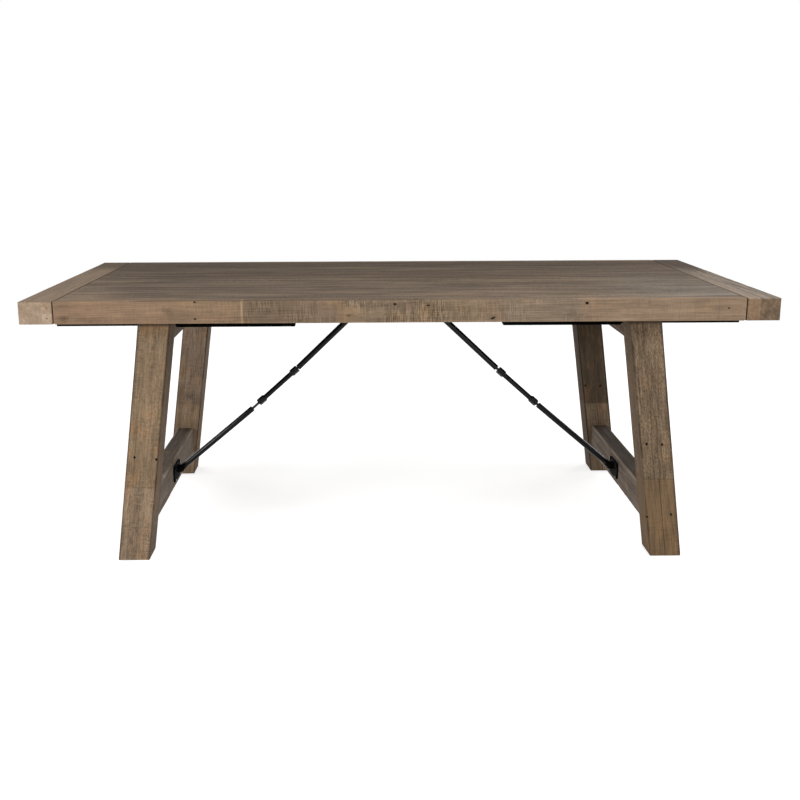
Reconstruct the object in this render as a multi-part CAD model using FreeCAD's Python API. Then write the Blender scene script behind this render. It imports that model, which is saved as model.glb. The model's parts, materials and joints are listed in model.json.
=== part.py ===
"""Extending dining table: a plank top on two trestles, with end caps that pull out.

Frame: +X along the table's length, -Y towards the viewer, +Z up, origin on the floor
under the middle of the top. Lengths are in millimetres.

The top is six planks between two deep edge beams, closed by a solid cap at each end.
Each cap stands on two steel channel runners. A runner hangs on two nylon glide blocks
inside it and parks in a folded sleeve, and the cap pulls out by one leaf. Each trestle
has two leaning legs, a top rail and a stretcher. On each side a tie rod in two lengths,
joined by a turnbuckle, runs from the stretcher up to the middle of the top.
"""

import FreeCAD
import Part
import math
import os

Vector = FreeCAD.Vector

# Overall size
table_length = 2083.0
table_width = 1016.0
table_height = 762.0

# Planked top
edge_height = 62.0
plank_thickness = 25.0
plank_count = 6
edge_beam_thickness = 32.0
cap_width = 92.0
seam_gap = 2.0
wood_ease = 1.5
beam_corner_radius = 6.0

# Frame under the planks
running_gap = 1.0
end_rail_thickness = 32.0
bearer_width = 66.0
batten_width = 90.0
batten_drop = 24.0
centre_batten_width = 270.0
side_batten_share = 0.806

# Trestles
foot_set_back = 222.0
lean_share = 0.134
leg_width = 90.0
leg_depth = 95.5
leg_side_gap = 2.0
leg_ease = 2.0
rail_set_back = 2.0
rail_thickness = 60.0
rail_height = 67.0
stretcher_set_back = 8.0
stretcher_thickness = 55.0
stretcher_height = 91.0
stretcher_bottom = 83.0
tenon_thickness = 24.0
tenon_shoulder = 14.0
tenon_length = 48.0
glide_diameter = 36.0
glide_pad = 5.0
glide_proud = 1.5
glide_stem_flats = 7.0
glide_stem = 16.0
glide_fit = 0.3

# Pull-out runners
leaf_travel = 457.0
runner_size = 30.0
runner_wall = 3.0
runner_bend = 3.0
runner_side_gap = 22.5
runner_cap_lap = 33.0
sleeve_lead = 6.0
sleeve_rail_gap = 6.5
sleeve_wall = 3.0
sleeve_lip = 12.0
sleeve_gap = 0.5
notch_gap = 1.0
stop_length = 11.5
stop_gap = 0.5
block_length = 30.0
block_gap = 0.3
block_ease = 1.5
block_end_gap = 5.5
block_rail_gap = 68.5
bracket_wall = 3.0
bracket_foot = 15.0
bracket_set_back = 1.0
bracket_length = 36.0
bracket_tail = 4.0
tongue_width = 60.0
tongue_thickness = 8.0
tongue_reach = 24.0
tongue_seat = 26.0
tongue_gap = 0.5

# Tie rods
tie_wall_thickness = 5.0
tie_plate_width = 106.0
tie_plate_height = 54.0
tie_plate_corner = 8.0
tie_pin_stand = 12.0
tie_pin_rise = 8.0
tie_pin_diameter = 8.0
tie_pin_head_flats = 13.0
tie_pin_head_height = 4.0
tie_pin_tail = 3.0
ear_thickness = 4.0
ear_radius = 11.0
eye_thickness = 9.0
eye_gap = 0.3
eye_radius = 9.0
eye_neck = 15.0
pin_fit = 0.1
tube_diameter = 18.5
stud_diameter = 9.0
stud_grip = 46.0
stud_fit = 0.1
centre_plate_length = 250.0
centre_plate_width = 56.0
centre_plate_thickness = 4.0
centre_pin_reach = 84.9
centre_pin_drop = 14.0
turnbuckle_length = 171.0
turnbuckle_body_diameter = 16.2
turnbuckle_nut_flats = 20.0
turnbuckle_nut_length = 26.0
turnbuckle_hole_diameter = 5.0
turnbuckle_hole_share = 0.09
stud_root = 12.0

# How each side's turnbuckle has been set: how far up from the lower pin its middle
# stands, how far it hangs below the straight line between the pins, and how much
# thread shows below and above it.
turnbuckle_share = {"left": 0.512, "right": 0.4935}
left_tie_sag = 11.0
left_thread_below = 28.0
left_thread_above = 3.0
right_tie_sag = 8.5
right_thread_below = 7.0
right_thread_above = 7.0

# Screws and bolts, all with a hexagon head; a shank in its hole is drawn six-sided
screw_flats = 4.0
screw_length = 18.0
screw_head_flats = 8.0
screw_head_height = 3.0
screw_inset = 8.0
runner_screw_shares = (0.25, 0.75)
bolt_flats = 8.0
bolt_grip = 26.0
bolt_head_flats = 13.0
bolt_head_height = 5.5
bolt_spread_share = 0.8
block_bolt_flats = 6.0
block_bolt_grip = 20.0
block_bolt_head_flats = 10.0
block_bolt_head_height = 3.0
hole_fit = 0.1
overrun = 5.0
straight_share = 0.001
hexagon_sides = 6

# Heights and faces that several pieces share
half_length = table_length / 2
half_width = table_width / 2
edge_bottom = table_height - edge_height
plank_bottom = table_height - plank_thickness
frame_bottom = edge_bottom + running_gap
seam_x = half_length - cap_width
top_end_x = seam_x - seam_gap
inner_half_width = half_width - edge_beam_thickness
plank_width = 2 * inner_half_width / plank_count
foot_reach = half_length - foot_set_back
leg_outer_y = inner_half_width - leg_side_gap
leg_inner_y = leg_outer_y - leg_depth
stretcher_top = stretcher_bottom + stretcher_height
runner_out_y = leg_inner_y - runner_side_gap
runner_in_y = runner_out_y - runner_size
runner_y = (runner_in_y + runner_out_y) / 2
runner_bottom = edge_bottom - runner_size
runner_outer_end = seam_x + runner_cap_lap
bearer_in_y = runner_y - bearer_width / 2
bearer_out_y = runner_y + bearer_width / 2
end_rail_x = top_end_x - end_rail_thickness
batten_bottom = plank_bottom - batten_drop

sides = {"left": -1, "right": 1}
ranks = {"front": -1, "rear": 1}
tie_sag = {"left": left_tie_sag, "right": right_tie_sag}
thread_below = {"left": left_thread_below, "right": right_thread_below}
thread_above = {"left": left_thread_above, "right": right_thread_above}


def leg_x(z, inset=0):
    """How far a leg's outer face, or a line inset from it, stands out at a height."""
    return foot_reach - lean_share * z - inset


rail_bottom = frame_bottom - rail_height
rail_reach = leg_x(rail_bottom, leg_width) + rail_set_back
rail_outer_x = rail_reach + rail_thickness
stretcher_reach = leg_x(stretcher_bottom, leg_width) + stretcher_set_back
inner_block_x = rail_outer_x + block_rail_gap
outer_block_x = end_rail_x - block_end_gap - block_length
block_places = [inner_block_x, outer_block_x]
runner_inner_end = inner_block_x - stop_gap - leaf_travel - stop_length
sleeve_inner_end = runner_inner_end - sleeve_lead
sleeve_outer_end = rail_reach - sleeve_rail_gap


def block(x0, x1, y0, y1, z0, z1):
    """A box between two corners."""
    return Part.makeBox(x1 - x0, y1 - y0, z1 - z0, Vector(x0, y0, z0))


def prism(points, run):
    """A closed outline of points pushed along the vector run."""
    outline = Part.makePolygon(points + [points[0]])
    return Part.Face(outline).extrude(run)


def prism_x(outline, x0, x1):
    """An outline of (y, z) points pushed along X."""
    points = [Vector(x0, y, z) for y, z in outline]
    return prism(points, Vector(x1 - x0, 0, 0))


def prism_y(outline, y0, y1):
    """An outline of (x, z) points pushed along Y."""
    points = [Vector(x, y0, z) for x, z in outline]
    return prism(points, Vector(0, y1 - y0, 0))


def rod(diameter, start, end):
    """A round bar from one point to another."""
    run = end - start
    return Part.makeCylinder(diameter / 2, run.Length, start, run)


def square_to(run):
    """A unit vector square to a run, and to the Y axis wherever the run is not along it."""
    guide = Vector(0, 1, 0)
    if run.cross(guide).Length < run.Length * straight_share:
        guide = Vector(0, 0, 1)
    return run.cross(guide).normalize()


def hex_bar(flats, start, end):
    """A six-sided bar from one point to another, by its width across the flats."""
    run = end - start
    aside = square_to(run)
    across = aside.cross(run).normalize()
    corner = flats / 2 / math.cos(math.pi / hexagon_sides)
    points = []
    for turn in range(hexagon_sides):
        angle = math.tau * turn / hexagon_sides
        points.append(start + aside * corner * math.cos(angle) + across * corner * math.sin(angle))
    return prism(points, run)


def eased(shape, amount, along):
    """Chamfer the straight edges that run along a direction."""
    chosen = []
    for edge in shape.Edges:
        if len(edge.Vertexes) == 2:
            run = edge.Vertexes[1].Point - edge.Vertexes[0].Point
            if run.cross(along).Length < run.Length * along.Length * straight_share:
                chosen.append(edge)
    return shape.makeChamfer(amount, chosen)


def mirrored(shape, side=1, rank=1):
    """Carry a piece built at +X, +Y over to its side and its front or rear place."""
    if side < 0:
        shape = shape.mirror(Vector(0, 0, 0), Vector(1, 0, 0))
    if rank < 0:
        shape = shape.mirror(Vector(0, 0, 0), Vector(0, 1, 0))
    return shape


def four_corners(shape):
    """The four mirror images of a piece built at +X, +Y."""
    return [mirrored(shape, side, rank) for side in sides.values() for rank in ranks.values()]


def drilled(shape, holes):
    """Cut a list of holes out of a piece."""
    return shape.cut(Part.makeCompound(holes)) if holes else shape


def save(name, *solids):
    """Write one node; several solids become one group."""
    shape = solids[0] if len(solids) == 1 else Part.makeCompound(list(solids))
    shape.exportStep("parts/" + name + ".step")
    loose = [solid for solid in shape.Solids if not solid.isValid()]
    print(name, "solids", len(shape.Solids), "faulty", len(loose))


# Screws

def wood_screw(seat, towards):
    """A screw: its head stands on the seat and its shank goes in towards the wood."""
    head = hex_bar(screw_head_flats, seat - towards * screw_head_height, seat)
    shank = hex_bar(screw_flats, seat, seat + towards * screw_length)
    return head.fuse(shank).removeSplitter()


def screw_hole(seat, towards):
    """The hole that a screw's shank fills in what it holds."""
    depth = screw_length + hole_fit
    return hex_bar(screw_flats + 2 * hole_fit, seat, seat + towards * depth)


def sleeve_screw_seats():
    """Where the screws through a sleeve's lips stand, for the rear right sleeve: one
    through each lip, at opposite ends."""
    seat_z = frame_bottom - sleeve_wall
    inner = Vector(sleeve_inner_end + sleeve_lip, sleeve_in_y - sleeve_lip / 2, seat_z)
    outer = Vector(sleeve_outer_end - sleeve_lip, sleeve_out_y + sleeve_lip / 2, seat_z)
    return [inner, outer]


def bracket_screw_seats():
    """Where the screws through a glide bracket's foot stand, for the rear right runner."""
    foot_y = bracket_face_y - bracket_foot / 2
    seat_z = frame_bottom - bracket_wall
    return [Vector(start + block_length / 2, foot_y, seat_z) for start in block_places]


def runner_screw_seats():
    """Where the screws through a runner's top flange stand, for the rear right runner."""
    seat_z = edge_bottom - runner_wall
    places = [seam_x + runner_cap_lap * share for share in runner_screw_shares]
    return [Vector(x, runner_y, seat_z) for x in places]


def tie_plate_screw_seats():
    """Where the screws of the right lower bracket stand, on its wall plate."""
    reach_y = tie_plate_width / 2 - screw_inset
    reach_z = tie_plate_height / 2 - screw_inset
    face = stretcher_reach - tie_wall_thickness
    seats = []
    for y in (-reach_y, reach_y):
        for z in (tie_plate_z - reach_z, tie_plate_z + reach_z):
            seats.append(Vector(face, y, z))
    return seats


def centre_plate_screw_seats():
    """Where the screws of the centre bracket stand, under the centre batten."""
    reach_x = centre_plate_length / 2 - screw_inset * 2
    reach_y = centre_plate_width / 2 - screw_inset
    seat_z = batten_bottom - centre_plate_thickness
    return [Vector(x, y, seat_z) for x in (-reach_x, reach_x) for y in (-reach_y, reach_y)]


def trestle_bolt_places():
    """Where the bolts through a top rail stand, for the right trestle."""
    middle = (rail_reach + rail_outer_x) / 2
    reach = bearer_in_y * bolt_spread_share
    return [Vector(middle, y, rail_bottom) for y in (-reach, 0, reach)]


# Pull-out runners, built for the rear right corner

bracket_face_y = runner_in_y - bracket_set_back
sleeve_in_y = runner_in_y - sleeve_gap - sleeve_wall
sleeve_out_y = runner_out_y + sleeve_gap + sleeve_wall
sleeve_bottom = runner_bottom - sleeve_gap - sleeve_wall


def runner():
    """A steel channel that opens towards the table's middle line."""
    flange_in = runner_in_y
    web_in = runner_out_y - runner_wall
    low = runner_bottom + runner_wall
    high = edge_bottom - runner_wall
    outline = [
        (flange_in, runner_bottom), (runner_out_y, runner_bottom),
        (runner_out_y, edge_bottom), (flange_in, edge_bottom),
        (flange_in, high), (web_in, high), (web_in, low), (flange_in, low),
    ]
    channel = prism_x(outline, runner_inner_end, runner_outer_end)
    bends = []
    for edge in channel.Edges:
        middle = edge.CenterOfMass
        outside = abs(middle.y - runner_out_y) < runner_wall / 2
        lengthwise = edge.Length > runner_size * 2
        if outside and lengthwise:
            bends.append(edge)
    channel = channel.makeFillet(runner_bend, bends)
    holes = []
    for seat in runner_screw_seats():
        holes.append(screw_hole(seat, Vector(0, 0, 1)))
    return drilled(channel, holes)


def runner_stop():
    """The block in a runner's inner end that meets the inner glide block at full travel."""
    face = runner_out_y - runner_wall
    low = runner_bottom + runner_wall
    high = edge_bottom - runner_wall
    end = runner_inner_end + stop_length
    return block(runner_inner_end, end, runner_in_y + runner_wall, face, low, high)


def guide_sleeve():
    """The folded steel sleeve in which a closed runner parks, screwed up by its lips."""
    lip_low = frame_bottom - sleeve_wall
    cavity_in = sleeve_in_y + sleeve_wall
    cavity_out = sleeve_out_y - sleeve_wall
    floor_top = sleeve_bottom + sleeve_wall
    outline = [
        (sleeve_in_y - sleeve_lip, frame_bottom), (sleeve_in_y - sleeve_lip, lip_low),
        (sleeve_in_y, lip_low), (sleeve_in_y, sleeve_bottom),
        (sleeve_out_y, sleeve_bottom), (sleeve_out_y, lip_low),
        (sleeve_out_y + sleeve_lip, lip_low), (sleeve_out_y + sleeve_lip, frame_bottom),
        (cavity_out, frame_bottom), (cavity_out, floor_top),
        (cavity_in, floor_top), (cavity_in, frame_bottom),
    ]
    folded = prism_x(outline, sleeve_inner_end, sleeve_outer_end)
    return drilled(folded, [screw_hole(seat, Vector(0, 0, 1)) for seat in sleeve_screw_seats()])


def glide_block(start):
    """A nylon block that carries the runner inside its channel, from x = start."""
    low = runner_bottom + runner_wall + block_gap
    high = edge_bottom - runner_wall - block_gap
    far = runner_out_y - runner_wall - sleeve_gap
    body = block(start, start + block_length, bracket_face_y, far, low, high)
    body = eased(body, block_ease, Vector(0, 1, 0))
    return drilled(body, [block_bolt_hole(start)])


def block_bolt_ends(start):
    """The two ends of a glide block's bolt: under its head, and inside the block."""
    x = start + block_length / 2
    z = edge_bottom - runner_size / 2
    under_head = Vector(x, bracket_face_y - bracket_wall, z)
    return under_head, under_head + Vector(0, block_bolt_grip, 0)


def block_bolt_hole(start):
    """The hole that a glide block's bolt fills in the bracket and the block."""
    near, far = block_bolt_ends(start)
    return hex_bar(block_bolt_flats + 2 * hole_fit, near, far)


def block_bolt(start):
    """The bolt that holds a glide block to its bracket."""
    near, far = block_bolt_ends(start)
    head = hex_bar(block_bolt_head_flats, near - Vector(0, block_bolt_head_height, 0), near)
    return head.fuse(hex_bar(block_bolt_flats, near, far)).removeSplitter()


def glide_bracket(start):
    """The steel angle that hangs a glide block from the bearer."""
    middle = start + block_length / 2
    x0 = middle - bracket_length / 2
    x1 = middle + bracket_length / 2
    face = bracket_face_y
    tail = runner_bottom + bracket_tail
    outline = [
        (face, tail), (face, frame_bottom), (face - bracket_foot, frame_bottom),
        (face - bracket_foot, frame_bottom - bracket_wall),
        (face - bracket_wall, frame_bottom - bracket_wall), (face - bracket_wall, tail),
    ]
    holes = [screw_hole(seat, Vector(0, 0, 1)) for seat in bracket_screw_seats()]
    return drilled(prism_x(outline, x0, x1), holes + [block_bolt_hole(start)])


# Caps

def tongue_places():
    """Where across the table the tongues of a cap stand: in its second planks."""
    return [-plank_width * 3 / 2, plank_width * 3 / 2]


def tongue(y, gap=0):
    """A tongue let into the right cap; with a gap, the slot it needs in the planks."""
    middle_z = table_height - plank_thickness / 2
    tip = seam_x - tongue_reach - gap * 2
    return block(tip, seam_x + tongue_seat, y - tongue_width / 2 - gap, y + tongue_width / 2 + gap,
                 middle_z - tongue_thickness / 2 - gap, middle_z + tongue_thickness / 2 + gap)


def end_cap():
    """The right cap: one solid timber across the table's end."""
    body = block(seam_x, half_length, -half_width, half_width, edge_bottom, table_height)
    body = eased(body, wood_ease, Vector(0, 1, 0))
    holes = [tongue(y) for y in tongue_places()]
    for seat in runner_screw_seats():
        for rank in ranks.values():
            holes.append(mirrored(screw_hole(seat, Vector(0, 0, 1)), rank=rank))
    return drilled(body, holes)


# Planked top

def plank(index):
    """One plank of the top, counted from the front."""
    y0 = -inner_half_width + index * plank_width
    y1 = y0 + plank_width
    body = block(-top_end_x, top_end_x, y0, y1, plank_bottom, table_height)
    body = eased(body, wood_ease / 2, Vector(1, 0, 0))
    slots = []
    for y in tongue_places():
        if y0 < y < y1:
            slots.extend(mirrored(tongue(y, tongue_gap), side) for side in sides.values())
    return drilled(body, slots)


def edge_beam():
    """The rear edge beam, with rounded lower ends where the caps meet it."""
    body = block(-top_end_x, top_end_x, inner_half_width, half_width, edge_bottom, table_height)
    lower_ends = []
    for edge in body.Edges:
        middle = edge.CenterOfMass
        low = abs(middle.z - edge_bottom) < wood_ease
        at_end = abs(abs(middle.x) - top_end_x) < wood_ease
        if low and at_end:
            lower_ends.append(edge)
    body = body.makeFillet(beam_corner_radius, lower_ends)
    upper = [edge for edge in body.Edges if runs_lengthwise(edge, table_height)]
    return body.makeChamfer(wood_ease / 2, upper)


def runs_lengthwise(edge, height):
    """Whether an edge is one of the long ones at a height."""
    middle = edge.CenterOfMass
    return edge.Length > table_width and abs(middle.z - height) < wood_ease


def end_rail():
    """The right cross rail between the edge beams, over the runners."""
    return block(end_rail_x, top_end_x, -inner_half_width, inner_half_width,
                 frame_bottom, plank_bottom)


def bearer():
    """The rear lengthwise bearer under the planks, which carries the slides."""
    body = block(-end_rail_x, end_rail_x, bearer_in_y, bearer_out_y, frame_bottom, plank_bottom)
    holes = []
    for seat in sleeve_screw_seats() + bracket_screw_seats():
        for side in sides.values():
            holes.append(mirrored(screw_hole(seat, Vector(0, 0, 1)), side))
    return drilled(body, holes)


def batten(middle_x, width):
    """A cross batten under the planks, between the two bearers."""
    body = block(middle_x - width / 2, middle_x + width / 2,
                 -bearer_in_y, bearer_in_y, batten_bottom, plank_bottom)
    return eased(body, leg_ease, Vector(0, 1, 0))


def centre_batten():
    """The batten in the middle, to which the centre bracket is screwed."""
    holes = [screw_hole(seat, Vector(0, 0, 1)) for seat in centre_plate_screw_seats()]
    return drilled(batten(0, centre_batten_width), holes)


# Trestles, built for the right side

def tenon(face_x, thickness, bottom, height):
    """The two stub tenons of a cross rail, as one bar through its middle."""
    middle = face_x + thickness / 2
    reach = leg_inner_y + tenon_length
    return block(middle - tenon_thickness / 2, middle + tenon_thickness / 2, -reach, reach,
                 bottom + tenon_shoulder, bottom + height - tenon_shoulder)


def rail_tenon():
    """The tenons of the top rail."""
    return tenon(rail_reach, rail_thickness, rail_bottom, frame_bottom - rail_bottom)


def stretcher_tenon():
    """The tenons of the stretcher."""
    return tenon(stretcher_reach, stretcher_thickness, stretcher_bottom, stretcher_height)


def foot_glide():
    """A nail-on nylon glide under the rear right leg."""
    x = leg_x(0, leg_width / 2)
    y = leg_outer_y - leg_depth / 2
    pad = Part.makeCylinder(glide_diameter / 2, glide_pad, Vector(x, y, 0))
    stem = hex_bar(glide_stem_flats, Vector(x, y, glide_pad), Vector(x, y, glide_pad + glide_stem))
    return pad.fuse(stem).removeSplitter()


def foot_recess():
    """The recess and the bore that a glide fills in its leg."""
    x = leg_x(0, leg_width / 2)
    y = leg_outer_y - leg_depth / 2
    pad = Part.makeCylinder(glide_diameter / 2 + glide_fit, glide_pad, Vector(x, y, 0))
    end = Vector(x, y, glide_pad + glide_stem + glide_fit)
    stem = hex_bar(glide_stem_flats + 2 * hole_fit, Vector(x, y, glide_pad), end)
    return pad.fuse(stem)


def leg():
    """The rear right leg, leaning in along the table, from glide to planks."""
    outline = [
        (leg_x(glide_proud), glide_proud), (leg_x(plank_bottom), plank_bottom),
        (leg_x(plank_bottom, leg_width), plank_bottom), (leg_x(glide_proud, leg_width), glide_proud),
    ]
    body = prism_y(outline, leg_inner_y, leg_outer_y)
    body = eased(body, leg_ease, Vector(-lean_share, 0, 1))
    return drilled(body, [rail_tenon(), stretcher_tenon(), foot_recess()])


def runner_notch():
    """The open notch in the right top rail through which the rear runner passes."""
    return block(rail_reach - overrun, rail_outer_x + overrun,
                 runner_in_y - notch_gap, runner_out_y + notch_gap,
                 runner_bottom - notch_gap, frame_bottom + overrun)


def bolt_run(place):
    """The two ends of a trestle bolt's shank: under its head, and inside the cleat."""
    return place, Vector(place.x, place.y, frame_bottom + bolt_grip)


def bolt_hole(place):
    """The hole that a trestle bolt's shank fills in the rail and the cleat."""
    return hex_bar(bolt_flats + 2 * hole_fit, *bolt_run(place))


def trestle_bolt(place):
    """A bolt up through the top rail into the cleat, its head under the rail."""
    head = hex_bar(bolt_head_flats, place - Vector(0, 0, bolt_head_height), place)
    return head.fuse(hex_bar(bolt_flats, *bolt_run(place))).removeSplitter()


def top_rail():
    """The right trestle's top rail, tenoned into both legs and notched for the runners."""
    body = block(rail_reach, rail_outer_x, -leg_inner_y, leg_inner_y, rail_bottom, frame_bottom)
    body = eased(body, leg_ease, Vector(0, 1, 0)).fuse(rail_tenon()).removeSplitter()
    holes = [mirrored(runner_notch(), rank=rank) for rank in ranks.values()]
    holes.extend(bolt_hole(place) for place in trestle_bolt_places())
    return drilled(body, holes)


def top_cleat():
    """The cleat under the planks to which the right trestle is bolted."""
    body = block(rail_reach, rail_outer_x, -bearer_in_y, bearer_in_y, frame_bottom, plank_bottom)
    return drilled(body, [bolt_hole(place) for place in trestle_bolt_places()])


def stretcher():
    """The right trestle's stretcher, tenoned into both legs."""
    body = block(stretcher_reach, stretcher_reach + stretcher_thickness,
                 -leg_inner_y, leg_inner_y, stretcher_bottom, stretcher_top)
    body = eased(body, leg_ease, Vector(0, 1, 0)).fuse(stretcher_tenon()).removeSplitter()
    return drilled(body, [screw_hole(seat, Vector(1, 0, 0)) for seat in tie_plate_screw_seats()])


# Tie rods, built for the right side and set as each side is set

tie_plate_z = stretcher_bottom + stretcher_height / 2
lower_pin = Vector(stretcher_reach - tie_wall_thickness - tie_pin_stand, 0,
                   tie_plate_z + tie_pin_rise)
upper_pin = Vector(centre_pin_reach, 0, batten_bottom - centre_plate_thickness - centre_pin_drop)
ear_inner_y = eye_thickness / 2 + eye_gap
ear_outer_y = ear_inner_y + ear_thickness


def pin_hole(middle):
    """The hole that a tie rod's pin fills in its ears."""
    reach = Vector(0, ear_outer_y + overrun, 0)
    return rod(tie_pin_diameter + 2 * pin_fit, middle - reach, middle + reach)


def ear_pair(middle, base):
    """Two ears round a pin, reaching from the pin to a plate at the point base."""
    run = base - middle
    aside = square_to(run) * ear_radius
    ears = []
    for rank in ranks.values():
        y0 = min(rank * ear_inner_y, rank * ear_outer_y)
        shift = Vector(0, y0 - middle.y, 0)
        points = [middle + aside + shift, base + aside + shift,
                  base - aside + shift, middle - aside + shift]
        web = prism(points, Vector(0, ear_thickness, 0))
        nose = Part.makeCylinder(ear_radius, ear_thickness, middle + shift, Vector(0, 1, 0))
        ears.append(web.fuse(nose).removeSplitter())
    return ears


def lower_bracket():
    """The right wall plate with its two ears, screwed to the stretcher's inner face."""
    face = stretcher_reach - tie_wall_thickness
    plate = block(face, stretcher_reach, -tie_plate_width / 2, tie_plate_width / 2,
                  tie_plate_z - tie_plate_height / 2, tie_plate_z + tie_plate_height / 2)
    plate = eased(plate, tie_plate_corner, Vector(1, 0, 0))
    ears = ear_pair(lower_pin, Vector(face, 0, lower_pin.z))
    whole = plate.fuse(ears).removeSplitter()
    holes = [screw_hole(seat, Vector(1, 0, 0)) for seat in tie_plate_screw_seats()]
    return drilled(whole, holes + [pin_hole(lower_pin)])


def centre_bracket():
    """The plate under the centre batten, with a pair of ears for each side's rod."""
    low = batten_bottom - centre_plate_thickness
    plate = block(-centre_plate_length / 2, centre_plate_length / 2,
                  -centre_plate_width / 2, centre_plate_width / 2, low, batten_bottom)
    plate = eased(plate, tie_plate_corner, Vector(0, 0, 1))
    ears = []
    for side in sides.values():
        for ear in ear_pair(upper_pin, Vector(upper_pin.x, 0, low)):
            ears.append(mirrored(ear, side))
    whole = plate.fuse(ears).removeSplitter()
    holes = [screw_hole(seat, Vector(0, 0, 1)) for seat in centre_plate_screw_seats()]
    holes.extend(mirrored(pin_hole(upper_pin), side) for side in sides.values())
    return drilled(whole, holes)


def rod_pin(middle):
    """A bolt through a pair of ears and the eye between them."""
    head_start = middle - Vector(0, ear_outer_y + tie_pin_head_height, 0)
    under_head = middle - Vector(0, ear_outer_y, 0)
    tail = middle + Vector(0, ear_outer_y + tie_pin_tail, 0)
    head = hex_bar(tie_pin_head_flats, head_start, under_head)
    return head.fuse(rod(tie_pin_diameter, under_head, tail)).removeSplitter()


def turnbuckle_axis(side_name):
    """The middle of a side's turnbuckle, and the unit vector down its axis outwards."""
    line = upper_pin - lower_pin
    outwards = (lower_pin - upper_pin).normalize()
    below = Vector(0, 1, 0).cross(outwards)
    middle = lower_pin + line * turnbuckle_share[side_name] + below * tie_sag[side_name]
    return middle, outwards


def tie_rod(pin, middle, towards, thread_shown):
    """One rod: its eye on the pin, its tube, and the stud that it holds in line with
    the turnbuckle."""
    half = turnbuckle_length / 2
    tube_end = middle + towards * (half + thread_shown)
    back = (pin - tube_end).normalize()
    tube_start = pin - back * eye_neck
    tube = rod(tube_diameter, tube_start, tube_end)
    aside = square_to(back) * eye_radius
    half_eye = Vector(0, eye_thickness / 2, 0)
    strap_end = tube_start - back * eye_neck / 2
    strap = prism([pin + aside - half_eye, strap_end + aside - half_eye,
                   strap_end - aside - half_eye, pin - aside - half_eye], half_eye * 2)
    eye = Part.makeCylinder(eye_radius, eye_thickness, pin - half_eye, Vector(0, 1, 0))
    stud_end = middle + towards * (half - stud_grip)
    stud = rod(stud_diameter, tube_end + towards * stud_root, stud_end)
    whole = tube.fuse([strap, eye, stud]).removeSplitter()
    return drilled(whole, [pin_hole(pin)])


def lower_rod(side_name):
    """The rod from the stretcher up to the turnbuckle."""
    middle, outwards = turnbuckle_axis(side_name)
    return tie_rod(lower_pin, middle, outwards, thread_below[side_name])


def upper_rod(side_name):
    """The rod from the turnbuckle up to the centre bracket."""
    middle, outwards = turnbuckle_axis(side_name)
    return tie_rod(upper_pin, middle, outwards * -1, thread_above[side_name])


def turnbuckle(side_name):
    """The round sleeve nut with a hexagon at each end, bored through for both studs."""
    middle, outwards = turnbuckle_axis(side_name)
    half = outwards * (turnbuckle_length / 2)
    nut = outwards * turnbuckle_nut_length
    bar = rod(turnbuckle_body_diameter, middle - half, middle + half)
    lower_nut = hex_bar(turnbuckle_nut_flats, middle + half - nut, middle + half)
    upper_nut = hex_bar(turnbuckle_nut_flats, middle - half, middle - half + nut)
    bore = rod(stud_diameter + 2 * stud_fit, middle - half, middle + half)
    hole_middle = middle - half + nut + outwards * (turnbuckle_length * turnbuckle_hole_share)
    hole_run = Vector(0, turnbuckle_body_diameter, 0)
    tommy_hole = rod(turnbuckle_hole_diameter, hole_middle - hole_run, hole_middle)
    solid = bar.fuse([lower_nut, upper_nut]).removeSplitter()
    return drilled(solid, [bore, tommy_hole])


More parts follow.
